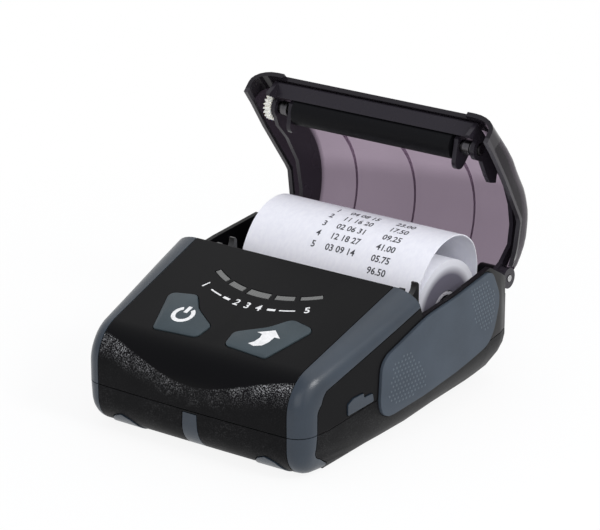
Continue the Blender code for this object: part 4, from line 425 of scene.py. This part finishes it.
def turned_steel(name, colour, roughness):
    """Metal with fine tool lines."""
    look = Look(name, colour, roughness, 1.0)
    lines = look.noise(900.0, 4.0, (6.0, 0.4, 0.4))
    look.set("Roughness", look.range(lines, *NOISE_BAND, roughness - 0.08, roughness + 0.12))
    dark = tuple(c * 0.8 for c in colour)
    look.set("Base Color", look.mix_colour(look.range(lines, 0.35, 0.65, 0.0, 1.0), dark, colour))
    look.bump(lines, 0.12, 0.00005, look.soften_edges(0.0002))
    return look.material


def cream_gear(name):
    """Pale acetal."""
    look = Look(name, (0.78, 0.76, 0.68), 0.42)
    wide = look.noise(260.0, 2.0)
    tone = look.range(wide, *NOISE_BAND, 0.0, 1.0)
    look.set("Base Color", look.mix_colour(tone, (0.82, 0.81, 0.74), (0.93, 0.93, 0.89)))
    look.constant("Subsurface Weight", 0.15)
    look.shader.inputs["Subsurface Radius"].default_value = (0.001, 0.0009, 0.0007)
    look.bump(look.noise(1800.0, 2.0), 0.12, 0.00006, look.soften_edges(0.0002))
    return look.material


def roller_rubber(name):
    """Black rubber, ground in fine rings."""
    look = Look(name, (0.004, 0.004, 0.005), 0.55)
    look.constant("Specular IOR Level", 0.1)
    rings = look.noise(1400.0, 2.0, (3.0, 0.15, 0.15))
    look.set("Roughness", look.range(rings, *NOISE_BAND, 0.42, 0.6))
    look.bump(rings, 0.3, 0.00005)
    return look.material


def coated_paper(name, roll_centre=None):
    """Thermal paper; a roll's ends show the wound turns as fine rings, with a painted shadow over the inner
    turns.
    """
    look = Look(name, (0.80, 0.80, 0.86), 0.62)
    fibres = look.noise(700.0, 4.0, (1.0, 0.6, 0.6))
    tone = look.mix_colour(look.range(fibres, *NOISE_BAND, 0.0, 1.0), *PAPER_TONES)
    look.constant("Sheen Weight", 0.1)
    if roll_centre is None:
        look.set("Base Color", tone)
        look.bump(fibres, 0.12, 0.00008)
        return look.material
    coordinates = look.node("TexCoord")
    centre = look.node("VectorMath", operation="SUBTRACT")
    centre.inputs[1].default_value = roll_centre
    look.link(coordinates.outputs["Object"], centre.inputs[0])
    flat = look.node("VectorMath", operation="MULTIPLY")
    flat.inputs[1].default_value = (0.0, 1.0, 1.0)
    look.link(centre.outputs["Vector"], flat.inputs[0])
    radius = look.node("VectorMath", operation="LENGTH")
    look.link(flat.outputs["Vector"], radius.inputs[0])
    turns = look.math("SINE", look.math("MULTIPLY", radius.outputs["Value"], RING_RADIANS_PER_METRE))
    wobble = look.noise(120.0, 2.0)
    ring = look.math("MULTIPLY", turns, look.range(wobble, *NOISE_BAND, 0.2, 1.0))
    shade = look.mix_colour(look.range(ring, -1.0, 1.0, 0.0, 1.0), *TURN_TONES)
    # Painted shadow over the inner turns of the roll's ends
    inner = look.range(radius.outputs["Value"], *PAINTED_SHADOW_RADII, 1.0, 0.0)
    look.set("Base Color", look.mix_colour(inner, shade, INNER_TURNS_SHADOW))
    look.bump(ring, 0.2, 0.00006)
    return look.material


def wound_card(name):
    """Pale card tube."""
    look = Look(name, (0.62, 0.61, 0.66), 0.8)
    fibres = look.noise(420.0, 5.0, (0.5, 1.0, 1.0))
    look.set("Base Color", look.mix_colour(fibres, (0.52, 0.51, 0.56), (0.68, 0.67, 0.72)))
    look.bump(fibres, 0.3, 0.0001)
    return look.material


def circuit_board(name):
    """Solder resist with paler tracks and pads."""
    look = Look(name, (0.01, 0.10, 0.045), 0.35)
    cells = look.node("TexVoronoi", feature="DISTANCE_TO_EDGE", distance="CHEBYCHEV")
    cells.inputs["Scale"].default_value = 260.0
    cells.inputs["Randomness"].default_value = 0.6
    look.link(look.place((1.0, 1.0, 0.0)), cells.inputs["Vector"])
    track = look.range(cells.outputs["Distance"], 0.05, 0.07, 1.0, 0.0)
    look.set("Base Color", look.mix_colour(track, (0.008, 0.08, 0.035), (0.03, 0.19, 0.08)))
    look.bump(track, 0.2, 0.00005, look.soften_edges(0.0002))
    return look.material


def grey_lens(name):
    """Grey clear plastic with ribs behind it."""
    look = Look(name, (0.1, 0.1, 0.098), 0.25)
    ribs = look.node("TexWave", wave_type="BANDS", bands_direction="X")
    ribs.inputs["Scale"].default_value = 300.0
    look.link(look.place(), ribs.inputs["Vector"])
    tone = look.range(ribs.outputs["Fac"], 0.0, 1.0, 0.3, 0.7)
    look.set("Base Color", look.mix_colour(tone, (0.075, 0.076, 0.074), (0.13, 0.131, 0.128)))
    look.constant("Coat Weight", 0.3)
    look.constant("Coat Roughness", 0.08)
    look.bump(look.noise(600.0, 2.0), 0.06, 0.00005, look.soften_edges(0.0002))
    return look.material


def plain_detail(name, colour, roughness):
    """A general look with a little mottling and grain, for inner pieces."""
    look = Look(name, colour, roughness)
    wide = look.noise(500.0, 3.0)
    dark = tuple(c * 0.8 for c in colour)
    light = tuple(min(c * 1.15, 1.0) for c in colour)
    look.set("Base Color", look.mix_colour(look.range(wide, *NOISE_BAND, 0.0, 1.0), dark, light))
    look.set("Roughness", look.range(wide, *NOISE_BAND, roughness - 0.05, roughness + 0.08))
    look.bump(wide, 0.12, 0.00006, look.soften_edges(0.0002))
    return look.material


def ink(name, colour, scale=900.0):
    """Printed ink with slightly uneven cover."""
    look = Look(name, colour, 0.5)
    cover = look.noise(scale, 3.0)
    thin = tuple(c * 0.8 + 0.04 for c in colour)
    look.set("Base Color", look.mix_colour(look.range(cover, 0.35, 0.6, 0.0, 1.0), thin, colour))
    look.bump(cover, 0.1, 0.00003)
    return look.material


def smoothing_group():
    """Joins the faces' own corners again, and shades smooth wherever two faces meet at a low angle."""
    group = bpy.data.node_groups.new("smooth_rounds", "GeometryNodeTree")
    group.interface.new_socket("Geometry", in_out="INPUT", socket_type="NodeSocketGeometry")
    group.interface.new_socket("Geometry", in_out="OUTPUT", socket_type="NodeSocketGeometry")
    start = group.nodes.new("NodeGroupInput")
    end = group.nodes.new("NodeGroupOutput")
    merge = group.nodes.new("GeometryNodeMergeByDistance")
    merge.inputs["Distance"].default_value = MERGE_DISTANCE
    faces = group.nodes.new("GeometryNodeSetShadeSmooth")
    faces.domain = "FACE"
    edges = group.nodes.new("GeometryNodeSetShadeSmooth")
    edges.domain = "EDGE"
    angle = group.nodes.new("GeometryNodeInputMeshEdgeAngle")
    low = group.nodes.new("FunctionNodeCompare")
    low.data_type = "FLOAT"
    low.operation = "LESS_THAN"
    low.inputs["B"].default_value = SHARP_ANGLE
    link = group.links.new
    link(start.outputs[0], merge.inputs["Geometry"])
    link(merge.outputs["Geometry"], faces.inputs["Geometry"])
    link(faces.outputs["Geometry"], edges.inputs["Geometry"])
    link(angle.outputs["Unsigned Angle"], low.inputs["A"])
    link(low.outputs["Result"], edges.inputs["Shade Smooth"])
    link(edges.outputs["Geometry"], end.inputs[0])
    return group


smooth_rounds = smoothing_group()


def dress(material, *names):
    """Give CAD nodes a material and smooth shading over their round faces."""
    for name in names:
        piece = nodes[name]
        piece.data.materials.clear()
        piece.data.materials.append(material)
        piece.data.shade_smooth()
        piece.modifiers.new("smooth_rounds", "NODES").node_group = smooth_rounds


def new_piece(name, mesh, material, body):
    """A visible piece that rides on a body."""
    piece = bpy.data.objects.new(name, mesh)
    bpy.context.scene.collection.objects.link(piece)
    mesh.materials.clear()
    mesh.materials.append(material)
    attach(piece, body)
    return piece


def arc_points(radius, start, sweep, steps):
    """Points along an arc round the origin, with both ends."""
    angles = [start + sweep * i / steps for i in range(steps + 1)]
    return [(radius * math.cos(angle), radius * math.sin(angle)) for angle in angles]


def arc_band(radius, width, start, sweep, steps):
    """The outline of a band along an arc round the origin."""
    outer = arc_points(radius + width / 2, start, sweep, steps)
    inner = arc_points(radius - width / 2, start, sweep, steps)
    return outer + inner[::-1]


def curve_mesh(curve):
    """The filled mesh of a curve or a text; the curve itself is deleted."""
    guide = bpy.data.objects.new(curve.name, curve)
    bpy.context.scene.collection.objects.link(guide)
    bpy.context.view_layer.update()
    mesh = bpy.data.meshes.new_from_object(guide.evaluated_get(bpy.context.evaluated_depsgraph_get()))
    bpy.data.objects.remove(guide, do_unlink=True)
    bpy.data.curves.remove(curve)
    return mesh


def flat_mesh(name, outlines, thickness):
    """A thin plate from closed outlines; an outline inside another makes a hole."""
    curve = bpy.data.curves.new(name, "CURVE")
    curve.dimensions = "2D"
    curve.fill_mode = "BOTH"
    curve.extrude = thickness / 2
    for outline in outlines:
        spline = curve.splines.new("POLY")
        spline.points.add(len(outline) - 1)
        for point, (u, v) in zip(spline.points, outline):
            point.co = (u, v, 0.0, 1.0)
        spline.use_cyclic_u = True
    return curve_mesh(curve)


def panel_place(x, y, lift):
    """A place on the panel, raised a little, with the panel's own tilt."""
    z = PANEL_REAR_Z - (PANEL_REAR_Y - y) * math.tan(PANEL_ANGLE)
    tilt = Matrix.Rotation(PANEL_ANGLE, 4, "X")
    return Matrix.Translation((x, y, z)) @ tilt @ Matrix.Translation((0.0, 0.0, lift + INK_LIFT))


def printed(name, outlines, place, material, body):
    """Flat ink, laid on a face."""
    mesh = flat_mesh(name, outlines, INK_T)
    mesh.transform(place)
    return new_piece(name, mesh, material, body)


def power_symbol():
    """A broken ring with an upright bar."""
    radius = 0.0037
    width = 0.0016
    gap = math.radians(32)
    start = math.pi / 2 + gap
    ring = arc_band(radius, width, start, math.tau - 2 * gap, 30)
    half = width / 2
    low, high = radius * 0.3, radius * 1.3
    bar = [(-half, low), (half, low), (half, high), (-half, high)]
    return [ring, bar]


def feed_symbol():
    """A broad arrow that curves up from the left."""
    stem = [(-0.0042, -0.0057), (-0.0015, -0.0063), (0.0013, -0.0050), (0.0025, -0.0024), (0.0028, 0.0006)]
    back = [(-0.0026, 0.0007), (-0.0021, -0.0016), (-0.0027, -0.0040)]
    head = [(0.0051, 0.0007), (0.0007, 0.0042), (-0.0049, 0.0010)]
    return [stem + head + back]


def digits_curve(text, size, weight, steps):
    """Plain digits, from the origin to the right."""
    font = bpy.data.curves.new("digits", "FONT")
    font.body = text
    font.size = size
    font.resolution_u = steps
    font.offset = weight
    return font


def on_mark_arc(angle):
    """A place on the arc of marks, under the windows."""
    return Matrix.Rotation(angle, 4, "Z") @ Matrix.Translation((0.0, -MARK_ARC_R, 0.0))


def panel_marks(material):
    """Plain numbers with dashes between them, on an arc under the windows."""
    joined = bmesh.new()
    for text, degrees in MARK_NUMBERS:
        digits = digits_curve(text, MARK_SIZE, DIGIT_WEIGHT, 3)
        digits.align_x = "CENTER"
        digits.align_y = "CENTER"
        digits.extrude = INK_T / 2
        mesh = curve_mesh(digits)
        mesh.transform(on_mark_arc(math.radians(degrees)))
        joined.from_mesh(mesh)
        bpy.data.meshes.remove(mesh)
    for degrees, length, width in MARK_DASHES:
        sweep = length / MARK_ARC_R
        start = math.radians(degrees) - math.pi / 2 - sweep / 2
        mesh = flat_mesh("dash", [arc_band(MARK_ARC_R, width, start, sweep, 6)], INK_T)
        joined.from_mesh(mesh)
        bpy.data.meshes.remove(mesh)
    mesh = bpy.data.meshes.new("panel_marks")
    joined.to_mesh(mesh)
    joined.free()
    mesh.transform(panel_place(0.0, LIGHT_ARC_Y, MARK_LIFT))
    return new_piece("panel_marks", mesh, material, "case")


def surface_tree(name):
    """The places and faces of a CAD node, for casting rays at it."""
    return BVHTree.FromObject(nodes[name], bpy.context.evaluated_depsgraph_get())


def in_outline(point, outline):
    """Whether a point lies inside a closed outline."""
    inside = False
    y, z = point
    for (y0, z0), (y1, z1) in zip(outline, outline[1:] + outline[:1]):
        if (z0 > z) != (z1 > z) and y < (y1 - y0) * (z - z0) / (z1 - z0) + y0:
            inside = not inside
    return inside


# Two patches of raised dots on each grip pad, as shares of the pad's box along and up
DOT_PATCH_SHARES = (
    ((0.06, 0.20), (0.11, 0.09), (0.33, 0.16), (0.33, 0.34), (0.20, 0.62), (0.08, 0.55)),
    ((0.70, 0.93), (0.76, 0.55), (0.86, 0.38), (0.95, 0.50), (0.95, 0.72), (0.86, 0.95)),
)


def grip_dots(name, pad, side, material):
    """Low round studs in two patches of a grip pad, sunk a little into its face."""
    low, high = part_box(pad)
    length, height = high[1] - low[1], high[2] - low[2]
    row_step = DOT_PITCH * math.sin(math.pi / 3)
    inward = Vector((-side, 0.0, 0.0))
    tree = surface_tree(pad)
    mesh = bpy.data.meshes.new(name)
    body = bmesh.new()
    for shares in DOT_PATCH_SHARES:
        patch = [(low[1] + u * length, low[2] + v * height) for u, v in shares]
        for row in range(int(height / row_step) + 1):
            z = low[2] + row * row_step
            for column in range(int(length / DOT_PITCH) + 1):
                y = low[1] + (column + 0.5 * (row % 2)) * DOT_PITCH
                if not in_outline((y, z), patch):
                    continue
                hit, normal, _, _ = tree.ray_cast(Vector((side * DOT_RAY_X, y, z)), inward)
                if hit is None or abs(normal.x) < DOT_FACING:
                    continue
                dome = bmesh.ops.create_uvsphere(body, u_segments=10, v_segments=6, radius=DOT_R)
                turn = normal.to_track_quat("Z", "Y").to_matrix().to_4x4()
                flat = Matrix.Diagonal((1.0, 1.0, DOT_H / DOT_R, 1.0))
                place = Matrix.Translation(hit - normal * DOT_SINK) @ turn @ flat
                bmesh.ops.transform(body, matrix=place, verts=dome["verts"])
    body.to_mesh(mesh)
    body.free()
    mesh.shade_smooth()
    return new_piece(name, mesh, material, "case")


class PaperPath:
    """The outer face of the paper's loose turn, measured along its length from the back."""

    def __init__(self):
        low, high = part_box("paper_core")
        self.centre = (Vector(low) + Vector(high)) / 2
        tree = surface_tree("paper_tail")
        self.points = []
        for degrees in PAPER_SCAN:
            angle = math.radians(degrees)
            out = Vector((0.0, math.cos(angle), math.sin(angle)))
            hit, normal, _, _ = tree.ray_cast(self.centre + out * PAPER_REACH, -out)
            if hit is not None:
                self.points.append((angle, hit, normal if normal.dot(out) > 0 else -normal))
        self.lengths = [0.0]
        for before, after in zip(self.points, self.points[1:]):
            self.lengths.append(self.lengths[-1] + (after[1] - before[1]).length)

    def length_at(self, angle):
        """The length reached at an angle round the roll's axis."""
        for (reached, _, _), length in zip(self.points, self.lengths):
            if reached >= angle:
                return length
        return self.lengths[-1]

    def at(self, length, x, lift):
        """A place above the paper, by the length reached along it."""
        for i in range(len(self.lengths) - 1):
            if self.lengths[i + 1] >= length:
                span = self.lengths[i + 1] - self.lengths[i]
                t = (length - self.lengths[i]) / span
                point = self.points[i][1].lerp(self.points[i + 1][1], t)
                normal = self.points[i][2].lerp(self.points[i + 1][2], t).normalized()
                return Vector((x, point.y, point.z)) + Vector((0.0, normal.y, normal.z)) * lift
        return None


RECEIPT_ROWS = (
    ("1", "04 08 15", "23.00"),
    ("2", "11 16 20", "17.50"),
    ("3", "02 06 31", "09.25"),
    ("4", "12 18 27", "41.00"),
    ("5", "03 09 14", "05.75"),
    ("", "", "96.50"),
)
# Where the columns of the receipt start, as shares of the paper's width
COLUMN_SHARES = (0.36, 0.44, 0.70)


def receipt_print(material):
    """Rows of plain numbers, laid along the paper's curve."""
    path = PaperPath()
    low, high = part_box("paper_tail")
    width = high[0] - low[0]
    first = path.length_at(ROW_START)
    joined = bmesh.new()
    for number, row in enumerate(RECEIPT_ROWS):
        for text, share in zip(row, COLUMN_SHARES):
            if not text:
                continue
            mesh = curve_mesh(digits_curve(text, DIGIT_H / DIGIT_SHARE, RECEIPT_WEIGHT, 2))
            for vert in mesh.vertices:
                along = first + number * ROW_STEP - vert.co.y
                x = low[0] + share * width + vert.co.x
                vert.co = path.at(along, x, INK_LIFT * 2)
            joined.from_mesh(mesh)
            bpy.data.meshes.remove(mesh)
    mesh = bpy.data.meshes.new("receipt_print")
    joined.to_mesh(mesh)
    joined.free()
    return new_piece("receipt_print", mesh, material, "case")


# Dress the CAD pieces
nose_black = case_plastic("case_black_two_grains", True)
plain_black = case_plastic("case_black_grained", False)
guard_blue = soft_rubber("guard_blue", GUARD_BLUE, coat=0.55)
key_blue = soft_rubber("key_blue", KEY_BLUE, 0.45)
pad_blue = soft_rubber("pad_blue", PAD_BLUE, 0.58)
smoke = smoked_plastic("smoked_cover")
frame_black = gloss_black("gloss_black")
steel = turned_steel("turned_steel", PALE_STEEL, 0.26)
dark_steel = turned_steel("dark_steel", DARK_STEEL, 0.3)
cream = cream_gear("cream_gear")
core_low, core_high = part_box("paper_core")
roll_centre = tuple((Vector(core_low) + Vector(core_high)) / 2)

dress(nose_black, "upper_case")
dress(plain_black, "lower_case", "battery_door")
dress(
    guard_blue,
    "bumper_left_upper", "bumper_left_lower", "bumper_right_upper", "bumper_right_lower", "front_strip",
    "front_foot_left", "front_foot_right", "rear_foot_left", "rear_foot_right", "port_cover",
)
dress(pad_blue, "grip_pad_left", "grip_pad_right")
dress(key_blue, "power_button", "feed_button")
dress(grey_lens("grey_lens"), *[f"light_window_{n}" for n in range(1, 6)])
dress(smoke, "lid_cover")
dress(frame_black, "lid_frame")
dress(dark_steel, "platen_shaft", "platen_bearing_left", "platen_bearing_right", "retaining_clip")
dress(steel, "hinge_pin_left", "hinge_pin_right", "tear_bar", "feed_motor", "usb_socket")
dress(steel, "front_screw_left", "front_screw_right", "rear_screw_left", "rear_screw_right")
dress(cream, "platen_gear", "idler_gear", "motor_pinion")
dress(roller_rubber("roller_rubber"), "platen_roller")
dress(coated_paper("paper_face"), "paper_tail")
dress(coated_paper("paper_turns", roll_centre), "paper_roll")
dress(wound_card("wound_card"), "paper_core")
dress(circuit_board("solder_resist"), "key_board", "main_board")
dress(plain_detail("bin_black", (0.014, 0.014, 0.015), 0.45), "paper_bin")
dress(plain_detail("mechanism_black", (0.02, 0.02, 0.021), 0.4), "mechanism_chassis", "paper_sensor")
switch_black = plain_detail("switch_black", (0.03, 0.03, 0.032), 0.35)
dress(switch_black, "power_switch", "feed_switch", "processor_chip")
dress(plain_detail("head_glaze", (0.15, 0.10, 0.07), 0.2), "print_head")
dress(turned_steel("head_aluminium", HEAD_ALUMINIUM, 0.32), "head_heatsink")
dress(plain_detail("cell_wrap", (0.03, 0.05, 0.12), 0.4), "battery_pack")

# Details that ride on the pieces
white_ink = ink("white_ink", WHITE_INK)
power_place = panel_place(-KEY_X, KEY_Y, KEY_PROUD)
feed_place = panel_place(KEY_X, KEY_Y, KEY_PROUD)
printed("power_mark", power_symbol(), power_place, white_ink, "power_key")
printed("feed_mark", feed_symbol(), feed_place, white_ink, "feed_key")
panel_marks(white_ink)
# The studs take a lighter tone than the pad they are moulded on: a painted highlight
dot_highlight_blue = soft_rubber("dot_highlight_blue", DOT_HIGHLIGHT_BLUE, 0.4)
grip_dots("grip_dots_right", "grip_pad_right", 1, dot_highlight_blue)
grip_dots("grip_dots_left", "grip_pad_left", -1, dot_highlight_blue)
receipt_print(ink("paper_ink", PAPER_INK, 2500.0))


def look_along(piece, target):
    """Turn a lamp or the camera to face a place."""
    piece.rotation_euler = (Vector(target) - piece.location).to_track_quat("-Z", "Y").to_euler()


def area_light(name, place, target, size, power):
    lamp = bpy.data.lights.new(name, "AREA")
    lamp.shape = "RECTANGLE"
    lamp.size = size[0]
    lamp.size_y = size[1]
    lamp.energy = power
    piece = bpy.data.objects.new(name, lamp)
    piece.location = place
    bpy.context.scene.collection.objects.link(piece)
    look_along(piece, target)


def make_floor():
    """A wide pale floor that takes the shadow and runs out to white."""
    body = bmesh.new()
    bmesh.ops.create_circle(body, cap_ends=True, segments=96, radius=FLOOR_RADIUS)
    mesh = bpy.data.meshes.new("floor")
    body.to_mesh(mesh)
    body.free()
    floor = bpy.data.objects.new("floor", mesh)
    floor.location = (0.0, 0.0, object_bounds()[0][2] - FLOOR_DROP)
    bpy.context.scene.collection.objects.link(floor)
    look = Look("pale_floor", (0.9, 0.9, 0.9), 0.6)
    look.constant("Specular IOR Level", 0.2)
    glow = look.node("Emission")
    glow.inputs["Strength"].default_value = 1.0
    mix = look.node("MixShader")
    spread = look.node("VectorMath", operation="LENGTH")
    look.link(look.place(), spread.inputs[0])
    glowing = look.range(spread.outputs["Value"], *FLOOR_GLOW_REACH, *FLOOR_GLOW)
    look.link(glowing, mix.inputs["Fac"])
    look.link(look.shader.outputs["BSDF"], mix.inputs[1])
    look.link(glow.outputs["Emission"], mix.inputs[2])
    look.link(mix.outputs["Shader"], look.output.inputs["Surface"])
    mesh.materials.append(look.material)


def make_world():
    """White to the camera and through the cover, darker in the front of mirrors, soft grey as a light."""
    world = bpy.data.worlds.new("studio")
    world.use_nodes = True
    bpy.context.scene.world = world
    tree = world.node_tree
    tree.nodes.clear()
    output = tree.nodes.new("ShaderNodeOutputWorld")
    white = tree.nodes.new("ShaderNodeBackground")
    white.inputs["Color"].default_value = (1.0, 1.0, 1.0, 1.0)
    white.inputs["Strength"].default_value = 1.0
    soft = tree.nodes.new("ShaderNodeBackground")
    soft.inputs["Color"].default_value = SKY_COLOUR
    soft.inputs["Strength"].default_value = SKY_STRENGTH
    mix = tree.nodes.new("ShaderNodeMixShader")
    path = tree.nodes.new("ShaderNodeLightPath")
    way = tree.nodes.new("ShaderNodeTexCoord")
    split = tree.nodes.new("ShaderNodeSeparateXYZ")
    mirrored = tree.nodes.new("ShaderNodeMapRange")
    mirrored.inputs["From Min"].default_value = MIRROR_Y[0]
    mirrored.inputs["From Max"].default_value = MIRROR_Y[1]
    mirrored.inputs["To Min"].default_value = FRONT_MIRROR
    glossy = tree.nodes.new("ShaderNodeMath")
    glossy.operation = "MULTIPLY"
    tree.links.new(way.outputs["Generated"], split.inputs["Vector"])
    tree.links.new(split.outputs["Y"], mirrored.inputs["Value"])
    tree.links.new(path.outputs["Is Glossy Ray"], glossy.inputs[0])
    tree.links.new(mirrored.outputs["Result"], glossy.inputs[1])
    seen = tree.nodes.new("ShaderNodeMath")
    seen.operation = "MAXIMUM"
    through = tree.nodes.new("ShaderNodeMath")
    through.operation = "MAXIMUM"
    tree.links.new(path.outputs["Is Camera Ray"], seen.inputs[0])
    tree.links.new(glossy.outputs["Value"], seen.inputs[1])
    tree.links.new(seen.outputs["Value"], through.inputs[0])
    tree.links.new(path.outputs["Is Transmission Ray"], through.inputs[1])
    tree.links.new(through.outputs["Value"], mix.inputs["Fac"])
    tree.links.new(soft.outputs["Background"], mix.inputs[1])
    tree.links.new(white.outputs["Background"], mix.inputs[2])
    tree.links.new(mix.outputs["Shader"], output.inputs["Surface"])


def make_camera():
    data = bpy.data.cameras.new("camera")
    data.lens = CAMERA_LENS
    data.sensor_width = CAMERA_SENSOR
    camera = bpy.data.objects.new("camera", data)
    level = math.cos(CAMERA_ELEVATION)
    ahead = Vector((
        -math.sin(CAMERA_AZIMUTH) * level,
        math.cos(CAMERA_AZIMUTH) * level,
        -math.sin(CAMERA_ELEVATION),
    ))
    camera.location = CAMERA_TARGET - ahead * CAMERA_DISTANCE
    bpy.context.scene.collection.objects.link(camera)
    look_along(camera, CAMERA_TARGET)
    bpy.context.scene.camera = camera


make_floor()
make_world()
make_camera()
for lamp_values in LAMPS:
    area_light(*lamp_values)
bpy.context.scene.view_settings.view_transform = "Standard"
